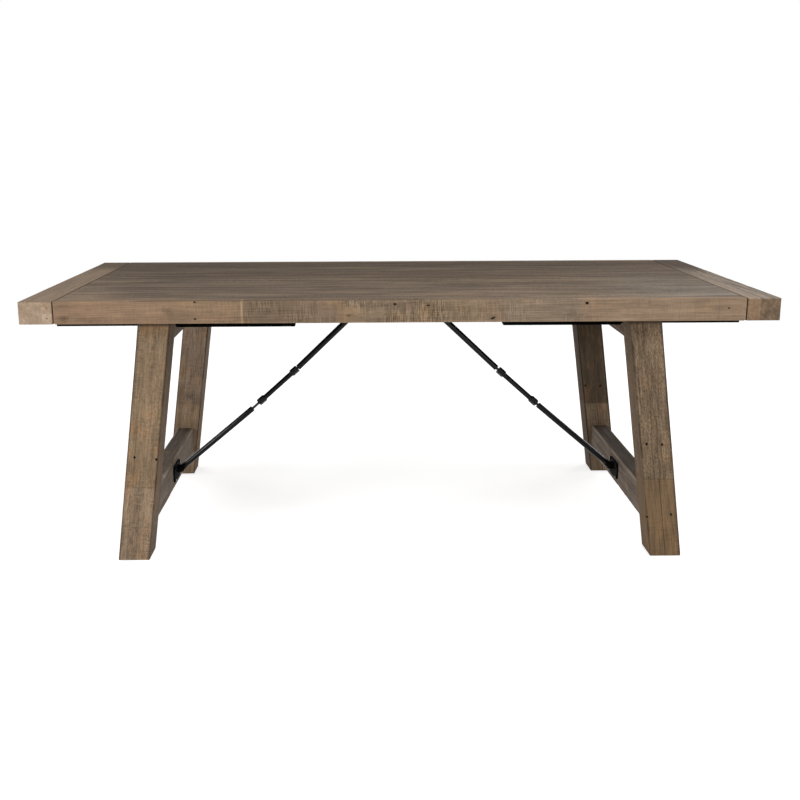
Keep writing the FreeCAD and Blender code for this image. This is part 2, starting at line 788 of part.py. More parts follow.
def main():
    """Build every node and write it to parts/."""
    os.makedirs("parts", exist_ok=True)

    for index in range(plank_count):
        save("plank_" + str(index + 1), plank(index))
    for rank_name, rank in ranks.items():
        save("edge_beam_" + rank_name, mirrored(edge_beam(), rank=rank))
        save("bearer_" + rank_name, mirrored(bearer(), rank=rank))
    save("batten_centre", centre_batten())

    for side_name, side in sides.items():
        save("end_rail_" + side_name, mirrored(end_rail(), side))
        side_batten = batten(rail_reach * side_batten_share, batten_width)
        save("batten_" + side_name, mirrored(side_batten, side))
        save("top_cleat_" + side_name, mirrored(top_cleat(), side))
        save("top_rail_" + side_name, mirrored(top_rail(), side))
        save("stretcher_" + side_name, mirrored(stretcher(), side))
        save("end_cap_" + side_name, mirrored(end_cap(), side))
        save("cap_tongues_" + side_name, *[mirrored(tongue(y), side) for y in tongue_places()])
        for rank_name, rank in ranks.items():
            place = side_name + "_" + rank_name
            save("leg_" + place, mirrored(leg(), side, rank))
            save("runner_" + place, mirrored(runner(), side, rank))
            save("guide_sleeve_" + place, mirrored(guide_sleeve(), side, rank))
        save("runner_stops_" + side_name,
             *[mirrored(runner_stop(), side, rank) for rank in ranks.values()])
        screws = [wood_screw(seat, Vector(0, 0, 1)) for seat in runner_screw_seats()]
        save("runner_screws_" + side_name,
             *[mirrored(screw, side, rank) for screw in screws for rank in ranks.values()])
        save("lower_bracket_" + side_name, mirrored(lower_bracket(), side))
        save("lower_rod_" + side_name, mirrored(lower_rod(side_name), side))
        save("turnbuckle_" + side_name, mirrored(turnbuckle(side_name), side))
        save("upper_rod_" + side_name, mirrored(upper_rod(side_name), side))

    save("foot_glides", *four_corners(foot_glide()))
    blocks = [glide_block(start) for start in block_places]
    save("glide_blocks", *[shape for piece in blocks for shape in four_corners(piece)])
    angles = [glide_bracket(start) for start in block_places]
    save("glide_brackets", *[shape for piece in angles for shape in four_corners(piece)])
    bolts = [block_bolt(start) for start in block_places]
    save("glide_bolts", *[shape for piece in bolts for shape in four_corners(piece)])

    save("centre_bracket", centre_bracket())
    pins = [rod_pin(lower_pin), rod_pin(upper_pin)]
    save("rod_pins", *[mirrored(pin, side) for pin in pins for side in sides.values()])
    bolts = [trestle_bolt(place) for place in trestle_bolt_places()]
    save("trestle_bolts", *[mirrored(bolt, side) for bolt in bolts for side in sides.values()])
    seats = sleeve_screw_seats() + bracket_screw_seats()
    screws = [wood_screw(seat, Vector(0, 0, 1)) for seat in seats]
    save("slide_screws", *[shape for screw in screws for shape in four_corners(screw)])
    screws = [wood_screw(seat, Vector(1, 0, 0)) for seat in tie_plate_screw_seats()]
    wall_screws = [mirrored(screw, side) for screw in screws for side in sides.values()]
    centre_screws = [wood_screw(seat, Vector(0, 0, 1)) for seat in centre_plate_screw_seats()]
    save("bracket_screws", *(wall_screws + centre_screws))


main()
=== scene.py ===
"""Looks of the extending dining table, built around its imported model.

The timbers are modelled as sawn and planed boards with worn arrises, nail holes and
gouges. The tie rods get their threads, turned ends and chamfered hexagons. The steel
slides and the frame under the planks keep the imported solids, with eased edges and their
own finishes. A name that ends in mm holds millimetres, and MM turns them into metres.
"""

import json
import logging
import math
import random
from dataclasses import dataclass, field, replace
from enum import Enum
from typing import Callable, Iterable, Sequence, Union

import bmesh
import bpy
from mathutils import Matrix, Vector, noise

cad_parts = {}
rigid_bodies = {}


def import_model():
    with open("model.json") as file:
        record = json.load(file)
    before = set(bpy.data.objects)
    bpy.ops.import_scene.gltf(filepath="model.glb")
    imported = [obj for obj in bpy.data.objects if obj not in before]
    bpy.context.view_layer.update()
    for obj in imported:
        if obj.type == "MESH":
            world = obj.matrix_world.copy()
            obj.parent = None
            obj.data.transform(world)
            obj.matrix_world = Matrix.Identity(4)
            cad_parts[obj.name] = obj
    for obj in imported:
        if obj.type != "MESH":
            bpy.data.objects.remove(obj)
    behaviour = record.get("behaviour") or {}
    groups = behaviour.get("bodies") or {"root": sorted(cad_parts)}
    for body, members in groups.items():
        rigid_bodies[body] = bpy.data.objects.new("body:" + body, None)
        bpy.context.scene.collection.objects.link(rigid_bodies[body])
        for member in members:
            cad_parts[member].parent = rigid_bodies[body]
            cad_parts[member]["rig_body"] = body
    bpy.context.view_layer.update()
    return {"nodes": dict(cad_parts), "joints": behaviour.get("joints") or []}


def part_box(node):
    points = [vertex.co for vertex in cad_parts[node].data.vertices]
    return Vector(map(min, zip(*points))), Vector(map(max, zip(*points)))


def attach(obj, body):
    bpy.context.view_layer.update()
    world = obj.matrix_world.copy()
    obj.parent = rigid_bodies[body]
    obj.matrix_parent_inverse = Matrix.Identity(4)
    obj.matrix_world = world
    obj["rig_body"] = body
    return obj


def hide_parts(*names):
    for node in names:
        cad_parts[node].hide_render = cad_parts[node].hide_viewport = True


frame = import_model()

log = logging.getLogger("table")

Node = bpy.types.Node
Socket = bpy.types.NodeSocket
Tree = bpy.types.NodeTree
Mesh = bmesh.types.BMesh
Corner = bmesh.types.BMVert
Piece = bpy.types.Object
Material = bpy.types.Material
Value = Union[Node, Socket, float, Sequence[float]]
Pair = tuple[float, float]
Triple = tuple[float, float, float]

MM = 0.001
SIDES = {"left": -1, "right": 1}
RANKS = {"front": -1, "rear": 1}

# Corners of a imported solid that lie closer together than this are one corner.
WELD_MM = 0.01

# Edges that turn by more than this are shaded sharp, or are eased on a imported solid.
TIMBER_SHARP_DEG = 50.0
STEEL_SHARP_DEG = 32.0
EASED_EDGE_DEG = 35.0

# How strongly large faces set the shading of the small ones beside them, in per cent.
LARGE_FACE_WEIGHT = 80


class Along(Enum):
    """The direction of the frame that a piece's grain or shank runs in."""

    X = 0
    Y = 1
    Z = 2

    @property
    def across(self) -> tuple[int, int]:
        """The two directions square to this one."""
        return tuple(axis for axis in range(3) if axis != self.value)


# Small tools for nodes, meshes and pieces


def linear(colour: str) -> tuple[float, float, float, float]:
    """Turn an sRGB hex colour into the linear values that a shader takes.

    Args:
        colour: The colour as a hash and six hex digits.

    Returns:
        Red, green, blue and an alpha of 1.
    """
    channels = []
    for start in (1, 3, 5):
        value = int(colour[start:start + 2], 16) / 255
        channels.append(value / 12.92 if value <= 0.04045 else ((value + 0.055) / 1.055) ** 2.4)
    return (*channels, 1.0)


def add_node(
    tree: Tree,
    kind: str,
    settings: dict[str, object] | None = None,
    inputs: dict[str | int, Value] | None = None,
) -> Node:
    """Add a shader node with its settings, values and links.

    Args:
        tree: The tree that gets the node.
        kind: The node's type name, without the word ShaderNode before it.
        settings: Its own settings by name.
        inputs: For each input, by name or number, a value, the socket that feeds it, or a
            node that feeds it from the first of its outputs that is in use.

    Returns:
        The new node.
    """
    node = tree.nodes.new("ShaderNode" + kind)
    for name, value in (settings or {}).items():
        setattr(node, name, value)
    for name, value in (inputs or {}).items():
        if isinstance(value, Node):
            value = next(socket for socket in value.outputs if socket.enabled)
        if isinstance(value, Socket):
            tree.links.new(value, node.inputs[name])
        else:
            node.inputs[name].default_value = value
    return node


def new_material(name: str) -> Material:
    """Make an empty node material.

    Args:
        name: Its name.

    Returns:
        The material, without nodes.
    """
    material = bpy.data.materials.new(name)
    material.use_nodes = True
    material.node_tree.nodes.clear()
    return material


def new_piece(name: str, shape: Mesh) -> Piece:
    """Turn a finished bmesh into an object of the scene, with outward faces.

    Args:
        name: The piece's name.
        shape: The mesh in work, which is freed.

    Returns:
        The new object, at the frame's origin.
    """
    bmesh.ops.recalc_face_normals(shape, faces=shape.faces)
    mesh = bpy.data.meshes.new(name)
    shape.to_mesh(mesh)
    shape.free()
    piece = bpy.data.objects.new(name, mesh)
    bpy.context.scene.collection.objects.link(piece)
    return piece


def skin(shape: Mesh, rings: Sequence[Sequence[Corner]], capped: bool = True) -> None:
    """Join rings of corners with faces, each ring to the next.

    Args:
        shape: The mesh in work.
        rings: The rings in order, each with as many corners as the others.
        capped: Whether the first and the last ring are closed by a face.
    """
    count = len(rings[0])
    for low, high in zip(rings, rings[1:]):
        for i in range(count):
            j = (i + 1) % count
            shape.faces.new((low[i], low[j], high[j], high[i]))
    if capped:
        shape.faces.new(rings[0])
        shape.faces.new(rings[-1])


def settle(piece: Piece) -> None:
    """Apply a piece's modifiers to its mesh.

    Args:
        piece: The piece.
    """
    bpy.context.view_layer.update()
    ready = piece.evaluated_get(bpy.context.evaluated_depsgraph_get())
    mesh = bpy.data.meshes.new_from_object(ready)
    old = piece.data
    piece.modifiers.clear()
    piece.data = mesh
    bpy.data.meshes.remove(old)


def combine(piece: Piece, tool: Piece, operation: str) -> None:
    """Cut a tool out of a piece or join it on, and remove the tool.

    Args:
        piece: The object that is changed.
        tool: The object that does the work and is deleted.
        operation: DIFFERENCE or UNION.
    """
    change = piece.modifiers.new("change", "BOOLEAN")
    change.operation = operation
    change.solver = "EXACT"
    change.object = tool
    settle(piece)
    spent = tool.data
    bpy.data.objects.remove(tool)
    bpy.data.meshes.remove(spent)


def smooth(piece: Piece, angle_deg: float) -> None:
    """Shade a piece smooth, with sharp edges kept over an angle.

    Args:
        piece: The piece.
        angle_deg: The angle.
    """
    piece.data.polygons.foreach_set("use_smooth", [True] * len(piece.data.polygons))
    piece.data.set_sharp_from_angle(angle=math.radians(angle_deg))
    even = piece.modifiers.new("even_faces", "WEIGHTED_NORMAL")
    even.keep_sharp = True
    even.weight = LARGE_FACE_WEIGHT


def dress(piece: Piece, *materials: Material) -> None:
    """Give a piece its materials in place of any that it has.

    Args:
        piece: The piece.
        materials: Its materials, as its faces number them.
    """
    piece.data.materials.clear()
    for material in materials:
        piece.data.materials.append(material)


def extent(points: Sequence[Vector]) -> tuple[Vector, Vector]:
    """Find the box round some points.

    Args:
        points: The points.

    Returns:
        Its lowest corner and its highest.
    """
    low = Vector(min(point[axis] for point in points) for axis in range(3))
    high = Vector(max(point[axis] for point in points) for axis in range(3))
    return low, high


def rounded_mean(points: Sequence[Vector]) -> Triple:
    """The mean of some points to a tenth of a millimetre, for sorting groups of them."""
    return tuple(round(value, 4) for value in sum(points, Vector()) / len(points))


def islands(node: str) -> list[list[Vector]]:
    """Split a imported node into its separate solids.

    Args:
        node: The node's name.

    Returns:
        The corner points of each solid.
    """
    shape = bmesh.new()
    shape.from_mesh(frame["nodes"][node].data)
    bmesh.ops.remove_doubles(shape, verts=shape.verts, dist=WELD_MM * MM)
    left = dict.fromkeys(shape.verts)
    groups = []
    while left:
        reached = [left.popitem()[0]]
        group = []
        while reached:
            corner = reached.pop()
            group.append(corner.co.copy())
            for edge in corner.link_edges:
                other = edge.other_vert(corner)
                if other in left:
                    left.pop(other)
                    reached.append(other)
        groups.append(group)
    shape.free()
    return sorted(groups, key=rounded_mean)


def keep_solid(node: str, material: Material, ease_mm: float) -> None:
    """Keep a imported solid, with eased edges and a finish of its own.

    Args:
        node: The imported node.
        material: Its finish.
        ease_mm: The width of the eased edges.
    """
    solid = frame["nodes"][node]
    weld = solid.modifiers.new("weld", "WELD")
    weld.merge_threshold = WELD_MM * MM
    ease = solid.modifiers.new("eased_edges", "BEVEL")
    ease.width = ease_mm * MM
    ease.segments = 2
    ease.limit_method = "ANGLE"
    ease.angle_limit = math.radians(EASED_EDGE_DEG)
    ease.harden_normals = True
    dress(solid, material)
    log.info("kept %s, edges eased by %.1f mm", node, ease_mm)


# Timber finishes


@dataclass(frozen=True)
class Cut:
    """How a timber was cut from its log: where the grain runs and which part it shows."""

    along: Along
    seed: int
    lean: float = 0.0
    tilt: float = 0.012
    pith_mm: Pair = (45.0, 120.0)
    log_mm: Pair = (9000.0, 60.0)
    shift_seed: int = 101

    @property
    def turn(self) -> Triple:
        """Angles that lay the grain along X, tilted a little as a sawn board's is.

        Returns:
            The angles about X, Y and Z.
        """
        tilt = random.Random(self.seed).uniform(-self.tilt, self.tilt)
        if self.along is Along.X:
            return (0.0, tilt, tilt)
        if self.along is Along.Y:
            return (0.0, tilt, -math.pi / 2 + tilt)
        return (0.0, math.pi / 2 + math.atan(self.lean), tilt)

    @property
    def shift(self) -> Triple:
        """A shift that takes each timber from another place in the log.

        Returns:
            The shift along the grain, across it and away from the pith.
        """
        draw = random.Random(self.seed + self.shift_seed)
        pith = draw.choice((-1, 1)) * draw.uniform(*self.pith_mm) * MM
        along, across = (draw.uniform(-reach, reach) * MM for reach in self.log_mm)
        return (along, across, pith)


@dataclass(frozen=True)
class Strip:
    """A part of a glued-up timber: where it starts, its colour and how it is marked."""

    start_mm: float
    colour: str
    saw: float = 0.15
    fleck: float = 0.35
    streak: float = 0.45

    def at(self, start_mm: float) -> "Strip":
        """The same strip from another start."""
        return replace(self, start_mm=start_mm)


@dataclass(frozen=True)
class Line:
    """A line or band on a face: a glue line, arris dirt, a paler top or painted shade.

    It lies square to its axis and can be cut off at heights and at ends along X.
    """

    axis: Along
    place_mm: float = 0.0
    low_mm: float = 0.0
    high_mm: float = 800.0
    ends_mm: Pair = (-1100.0, 1100.0)
    lean: float = 0.0
    width_mm: float = 1.8
    share: float = 0.65
    colour: str = "#2e241b"
    under_grain: bool = False

    def at(self, place_mm: float) -> "Line":
        """The same line at another place."""
        return replace(self, place_mm=place_mm)


@dataclass(frozen=True)
class Spot:
    """A place on a piece."""

    place_mm: Triple

    def moved(self, x_mm: float, y_mm: float) -> "Spot":
        """The same spot further along X and Y."""
        x, y, z = self.place_mm
        return replace(self, place_mm=(x + x_mm, y + y_mm, z))


@dataclass(frozen=True)
class Gouge(Spot):
    """A nail hole, or a longer gouge, cut into a face."""

    into: Triple
    length_mm: float = 4.0
    width_mm: float = 4.0
    depth_mm: float = 5.0
    turn_deg: float = 0.0

    @property
    def reach_mm(self) -> Triple:
        """How far the stain round it could reach each way."""
        return (self.length_mm, self.depth_mm * 3, self.width_mm)


@dataclass(frozen=True)
class Knot(Spot):
    """A knot in the timber, and how far its swirl reaches each way."""

    reach_mm: Triple
    turn_deg: float = 0.0


@dataclass(frozen=True)
class WeatheredPine:
    """Reclaimed pine, band-sawn, wire-brushed and waxed: dry, greyed and streaky.

    The eye sees tan heartwood under a grey patina, dark dirt in the open pores, rows of
    saw marks across the grain, and almost no gloss. A pattern's two sizes are its length
    along the grain and its width across it. Its middle is the noise value at half its
    strength, and its softness is how far from there it reaches none and all of it.
    """

    name: str
    patina: str = "#675c51"
    warm: str = "#a0805c"
    dark: str = "#2e241b"
    stain: str = "#15100c"
    worn: str = "#a58a6c"

    # Strengths of the layers of colour
    grey_share: float = 0.5
    warm_share: float = 0.35
    ring_share: float = 0.2
    wear_share: float = 0.4
    knot_share: float = 0.6
    fibre_ratio: float = 0.8

    # How the light falls on it
    ior: float = 1.5
    specular_level: float = 0.1
    roughness: float = 0.8
    roughness_spread: float = 0.08
    bump_mm: float = 0.35
    ring_relief: float = 0.35

    # Patterns of the grain
    middle: float = 0.5
    softness: float = 0.12
    detail: float = 3.0
    cloudiness: float = 0.55
    patch_mm: Pair = (170.0, 60.0)
    warm_mm: Pair = (60.0, 70.0)
    warm_middle: float = 0.6
    warm_softness: float = 0.09
    streak_mm: Pair = (300.0, 17.0)
    fibre_mm: Pair = (70.0, 5.0)
    fleck_mm: Pair = (14.0, 4.0)
    fleck_middle: float = 0.58
    fleck_softness: float = 0.07
    fleck_detail: float = 2.0

    # Growth rings. A ring wave of scale 1 has a ring every 0.314 m.
    ring_mm: float = 6.0
    ring_wave_m: float = 0.314
    ring_draw: float = 0.06
    ring_bend: float = 5.0
    ring_bend_detail: float = 2.0
    ring_bend_scale: float = 0.35
    ring_patch_mm: Pair = (300.0, 60.0)

    # Saw marks
    saw_mm: Pair = (2.6, 32.0)
    saw_softness: float = 0.1
    saw_detail: float = 4.0
    saw_patch_mm: Pair = (75.0, 55.0)
    saw_patch_middle: float = 0.46

    # Knots and stains. Their ranges are in shares of a knot's or hole's own reach.
    knot_grain_mm: float = 9.0
    knot_raggedness: float = 1.5
    knot_ring_turns: float = 19.0
    knot_ring_depth: float = 0.16
    knot_mean: float = 0.5
    knot_rim_shares: Pair = (1.0, 1.75)
    knot_heart_shares: Pair = (0.85, 1.03)
    stain_shares: Pair = (0.5, 0.75)
    line_core_share: float = 0.35
    out_of_reach: float = 3.0

    def pattern(
        self, tree: Tree, laid: Node, size_mm: Pair, middle: float | None = None,
        softness: float | None = None, detail: float | None = None, levels: Pair = (0.0, 1.0),
    ) -> Node:
        """A soft pattern stretched with the grain or across it.

        Args:
            tree: The material's tree.
            laid: Coordinates with the grain along X, in metres.
            size_mm: Its size along the grain and across it.
            middle: Its middle, if it isn't the usual one.
            softness: Its softness, if it isn't the usual one.
            detail: How much finer the noise goes, if it isn't the usual detail.
            levels: The pattern's lowest and highest value.

        Returns:
            The pattern.
        """
        middle = self.middle if middle is None else middle
        softness = self.softness if softness is None else softness
        along, across = (size * MM for size in size_mm)
        spread = add_node(tree, "VectorMath", {"operation": "MULTIPLY"}, {
            0: laid, 1: (1 / along, 1 / across, 1 / across)})
        cloud = add_node(tree, "TexNoise", inputs={
            "Vector": spread, "Scale": 1.0, "Detail": self.detail if detail is None else detail,
            "Roughness": self.cloudiness})
        return add_node(tree, "MapRange", {"interpolation_type": "SMOOTHSTEP"}, {
            "Value": cloud, "From Min": middle - softness, "From Max": middle + softness,
            "To Min": levels[0], "To Max": levels[1]})

    def strips(
        self, tree: Tree, place: Socket, axis: Along, parts: Sequence[Strip], span_mm: Pair,
    ) -> tuple[Node, Node]:
        """The colour and the marks of each glued part, one after the other.

        Args:
            tree: The material's tree.
            place: The piece's own coordinates.
            axis: The direction that the parts follow each other in.
            parts: The parts in order.
            span_mm: Where the timber starts and ends.

        Returns:
            The colour, and a node that gives the strength of the saw marks, the flecks and
            the streaks.
        """
        split = add_node(tree, "SeparateXYZ", inputs={0: place})
        low, high = span_mm
        share = add_node(tree, "MapRange", inputs={
            "Value": split.outputs[axis.value], "From Min": low * MM, "From Max": high * MM})
        ramps = []
        for _ in range(2):
            ramp = add_node(tree, "ValToRGB", inputs={0: share})
            ramp.color_ramp.interpolation = "CONSTANT"
            while len(ramp.color_ramp.elements) > 1:
                ramp.color_ramp.elements.remove(ramp.color_ramp.elements[-1])
            ramps.append(ramp)
        for number, part in enumerate(parts):
            at = max(0.0, (part.start_mm - low) / (high - low))
            shown = (linear(part.colour), (part.saw, part.fleck, part.streak, 1.0))
            for ramp, value in zip(ramps, shown):
                stops = ramp.color_ramp.elements
                stop = stops[0] if number == 0 else stops.new(at)
                stop.position = at
                stop.color = value
        return ramps[0], add_node(tree, "SeparateColor", inputs={0: ramps[1]})

    def nearest(self, tree: Tree, place: Socket, spots: Sequence[Gouge | Knot]) -> Node:
        """Measure how near the closest hole or knot is.

        Args:
            tree: The material's tree.
            place: The piece's own coordinates.
            spots: The holes or knots.

        Returns:
            0 at the middle of one, and 1 where it ends.
        """
        reach: Value = self.out_of_reach
        for spot in spots:
            away = add_node(tree, "Mapping", {"vector_type": "TEXTURE"}, {
                "Vector": place, "Location": tuple(value * MM for value in spot.place_mm),
                "Rotation": (0.0, math.radians(spot.turn_deg), 0.0),
                "Scale": tuple(value * MM for value in spot.reach_mm)})
            length = add_node(tree, "VectorMath", {"operation": "LENGTH"}, {0: away})
            reach = add_node(tree, "Math", {"operation": "MINIMUM"}, {0: reach, 1: length})
        return reach

    def swirl(self, tree: Tree, place: Socket, knots: Sequence[Knot]) -> Node:
        """Draw the dark, ringed and ragged swirl of the knots.

        Args:
            tree: The material's tree.
            place: The piece's own coordinates.
            knots: The knots.

        Returns:
            The swirl, from 0 to the knots' share.
        """
        ragged = add_node(tree, "TexNoise", inputs={
            "Vector": place, "Scale": 1 / (self.knot_grain_mm * MM), "Detail": self.detail})
        reach = add_node(tree, "Math", {"operation": "MULTIPLY_ADD"}, {
            0: ragged, 1: self.knot_raggedness, 2: self.nearest(tree, place, knots)})
        turns = add_node(tree, "Math", {"operation": "MULTIPLY"}, {
            0: reach, 1: self.knot_ring_turns})
        rings = add_node(tree, "Math", {"operation": "SINE"}, {0: turns})
        ringed = add_node(tree, "Math", {"operation": "MULTIPLY_ADD"}, {
            0: rings, 1: self.knot_ring_depth, 2: self.knot_mean})
        rim, heart = (
            add_node(tree, "MapRange", {"interpolation_type": "SMOOTHSTEP"}, {
                "Value": reach, "From Min": full, "From Max": none, "To Min": self.knot_share,
                "To Max": 0.0})
            for full, none in (self.knot_rim_shares, self.knot_heart_shares))
        faded = add_node(tree, "Math", {"operation": "MULTIPLY"}, {0: ringed, 1: rim})
        return add_node(tree, "Math", {"operation": "MAXIMUM"}, {0: faded, 1: heart})

    def drawn_line(self, tree: Tree, place: Socket, line: Line) -> Node:
        """Draw a line or band on a face.

        Args:
            tree: The material's tree.
            place: The piece's own coordinates.
            line: The line.

        Returns:
            The line, from 0 to its share.
        """
        split = add_node(tree, "SeparateXYZ", inputs={0: place})
        straight = add_node(tree, "Math", {"operation": "MULTIPLY_ADD"}, {
            0: split.outputs[2], 1: line.lean, 2: split.outputs[line.axis.value]})
        offset = add_node(tree, "Math", {"operation": "SUBTRACT"}, {
            0: straight, 1: line.place_mm * MM})
        away = add_node(tree, "Math", {"operation": "ABSOLUTE"}, {0: offset})
        near = add_node(tree, "MapRange", {"interpolation_type": "SMOOTHSTEP"}, {
            "Value": away, "From Min": self.line_core_share * line.width_mm * MM,
            "From Max": line.width_mm * MM, "To Min": line.share, "To Max": 0.0})
        for axis, (start, end) in ((2, (line.low_mm, line.high_mm)), (0, line.ends_mm)):
            inside = add_node(tree, "Math", {"operation": "COMPARE"}, {
                0: split.outputs[axis], 1: (start + end) / 2 * MM, 2: (end - start) / 2 * MM})
            near = add_node(tree, "Math", {"operation": "MULTIPLY"}, {0: near, 1: inside})
        return near

    def painted(
        self, tree: Tree, colour: Node, layers: Iterable[tuple[Node, str]],
    ) -> Node:
        """Lay colours over one another.

        Args:
            tree: The material's tree.
            colour: The colour below them all.
            layers: Each layer's share and colour, from the lowest up.

        Returns:
            The colour that they make.
        """
        for share, over in layers:
            colour = add_node(tree, "Mix", {"data_type": "RGBA"}, {
                0: share, 6: colour, 7: linear(over)})
        return colour

    def growth_rings(self, tree: Tree, laid: Node) -> Node:
        """Draw growth rings in patches, bent a little as the log grew.

        Args:
            tree: The material's tree.
            laid: Coordinates with the grain along X, in metres.

        Returns:
            The rings, from 0 to 1.
        """
        drawn = add_node(tree, "VectorMath", {"operation": "MULTIPLY"}, {
            0: laid, 1: (self.ring_draw, 1.0, 1.0)})
        rings = add_node(
            tree, "TexWave",
            {"wave_type": "RINGS", "rings_direction": "X", "wave_profile": "SAW"}, {
                "Vector": drawn, "Scale": self.ring_wave_m / (self.ring_mm * MM),
                "Distortion": self.ring_bend, "Detail": self.ring_bend_detail,
                "Detail Scale": self.ring_bend_scale})
        return add_node(tree, "Math", {"operation": "MULTIPLY"}, {
            0: rings.outputs["Fac"], 1: self.pattern(tree, laid, self.ring_patch_mm)})

    def saw_marks(self, tree: Tree, laid: Node, share: Socket) -> Node:
        """Draw band-saw marks across the grain, in patches.

        Args:
            tree: The material's tree.
            laid: Coordinates with the grain along X, in metres.
            share: Their strength.

        Returns:
            The marks: above 0 where they are dark, and below it where they are pale.
        """
        rows = self.pattern(
            tree, laid, self.saw_mm, softness=self.saw_softness, detail=self.saw_detail,
            levels=(-0.5, 0.5))
        patch = self.pattern(tree, laid, self.saw_patch_mm, self.saw_patch_middle)
        patched = add_node(tree, "Math", {"operation": "MULTIPLY"}, {0: rows, 1: patch})
        return add_node(tree, "Math", {"operation": "MULTIPLY"}, {0: patched, 1: share})

    def tone(self, tree: Tree, laid: Node, ring: Node, fibre: Node, share: Socket) -> Node:
        """How much lighter or darker the rings, streaks and fibres make the base colour.

        Args:
            tree: The material's tree.
            laid: Coordinates with the grain along X, in metres.
            ring: The growth rings.
            fibre: The fibres, from -0.5 to 0.5.
            share: The strength of the streaks and fibres.

        Returns:
            The tone, about 1.
        """
        streak = self.pattern(tree, laid, self.streak_mm, levels=(-0.5, 0.5))
        ringed = add_node(tree, "Math", {"operation": "MULTIPLY_ADD"}, {
            0: ring, 1: -self.ring_share, 2: 1.0})
        streaked = add_node(tree, "Math", {"operation": "MULTIPLY_ADD"}, {
            0: fibre, 1: self.fibre_ratio, 2: streak})
        return add_node(tree, "Math", {"operation": "MULTIPLY_ADD"}, {
            0: streaked, 1: share, 2: ringed})

    def marks(
        self, tree: Tree, place: Socket, laid: Node, fleck_share: Socket,
        gouges: Sequence[Gouge], knots: Sequence[Knot], bands: Sequence[tuple[Node, str]],
    ) -> list[tuple[Node, str]]:
        """What lies over the grain: dirt in the pores, knots, wear, lines (some of them painted
        shade) and stains.

        Args:
            tree: The material's tree.
            place: The piece's own coordinates.
            laid: The same with the grain along X.
            fleck_share: The strength of the flecks.
            gouges: The nail holes.
            knots: The knots.
            bands: The lines that lie over the grain, each with its colour.

        Returns:
            The share and the colour of each layer, from the lowest up.
        """
        fleck = self.pattern(
            tree, laid, self.fleck_mm, self.fleck_middle, self.fleck_softness, self.fleck_detail)
        flecked = add_node(tree, "Math", {"operation": "MULTIPLY"}, {0: fleck, 1: fleck_share})
        layers = [(flecked, self.dark)]
        if knots:
            layers.append((self.swirl(tree, place, knots), self.dark))
        wear = add_node(tree, "Attribute", {"attribute_name": "wear"})
        rubbed = add_node(tree, "Math", {"operation": "MULTIPLY"}, {
            0: wear.outputs["Fac"], 1: self.wear_share})
        layers += [(rubbed, self.worn), *bands]
        if gouges:
            full, none = self.stain_shares
            stained = add_node(tree, "MapRange", {"interpolation_type": "SMOOTHSTEP"}, {
                "Value": self.nearest(tree, place, gouges), "From Min": full, "From Max": none,
                "To Min": 1.0, "To Max": 0.0})
            layers.append((stained, self.stain))
        return layers

    def material(
        self, label: str, cut: Cut, parts: Sequence[Strip], span_mm: Pair,
        gouges: Sequence[Gouge] = (), lines: Sequence[Line] = (), knots: Sequence[Knot] = (),
        parts_along: Along | None = None,
    ) -> Material:
        """Build the finish for one timber.

        Args:
            label: The timber's name.
            cut: How it was cut.
            parts: The glued parts that show on it, or one.
            span_mm: Where it starts and ends in the parts' direction.
            gouges: Its nail holes, which are stained.
            lines: Its glue lines and bands.
            knots: Its knots.
            parts_along: The parts' direction, if it isn't the grain's.

        Returns:
            The material.
        """
        material = new_material(self.name + "_" + label)
        tree = material.node_tree
        place = add_node(tree, "TexCoord").outputs["Object"]
        laid = add_node(tree, "Mapping", inputs={
            "Vector": place, "Location": cut.shift, "Rotation": cut.turn})
        ground, shares = self.strips(tree, place, parts_along or cut.along, parts, span_mm)
        saw_share, fleck_share, streak_share = (shares.outputs[number] for number in range(3))
        under, over = (
            [(self.drawn_line(tree, place, line), line.colour)
             for line in lines if line.under_grain is below]
            for below in (True, False))

        # Grey patina and tan heart lie in clouds. Fibres are drawn some three times as wide
        # as real ones, so that they show in the render.
        patina = self.pattern(tree, laid, self.patch_mm, levels=(0.0, self.grey_share))
        tan = self.pattern(
            tree, laid, self.warm_mm, self.warm_middle, self.warm_softness,
            levels=(0.0, self.warm_share))
        ground = self.painted(tree, ground, [(patina, self.patina), (tan, self.warm), *under])
        ring = self.growth_rings(tree, laid)
        fibre = self.pattern(tree, laid, self.fibre_mm, levels=(-0.5, 0.5))
        tone = self.tone(tree, laid, ring, fibre, streak_share)
        saw_mark = self.saw_marks(tree, laid, saw_share)
        sawn = add_node(tree, "Math", {"operation": "SUBTRACT"}, {0: tone, 1: saw_mark})
        grained = add_node(tree, "VectorMath", {"operation": "SCALE"}, {
            0: ground, "Scale": sawn})
        colour = self.painted(
            tree, grained,
            self.marks(tree, place, laid, fleck_share, gouges, knots, over))

        # Brushed-out early wood, raised fibres and saw marks stand out in low relief.
        raised = add_node(tree, "Math", {"operation": "MULTIPLY_ADD"}, {
            0: ring, 1: self.ring_relief, 2: fibre})
        relief = add_node(tree, "Math", {"operation": "SUBTRACT"}, {0: raised, 1: saw_mark})
        bump = add_node(tree, "Bump", inputs={
            "Strength": 1.0, "Distance": self.bump_mm * MM, "Height": relief})
        rough = add_node(tree, "MapRange", inputs={
            "Value": fibre, "From Min": -0.5, "From Max": 0.5,
            "To Min": self.roughness - self.roughness_spread,
            "To Max": self.roughness + self.roughness_spread})
        shader = add_node(tree, "BsdfPrincipled", inputs={
            "Base Color": colour, "Roughness": rough, "IOR": self.ior,
            "Specular IOR Level": self.specular_level, "Normal": bump})
        add_node(tree, "OutputMaterial", inputs={"Surface": shader})
        return material


# Boards


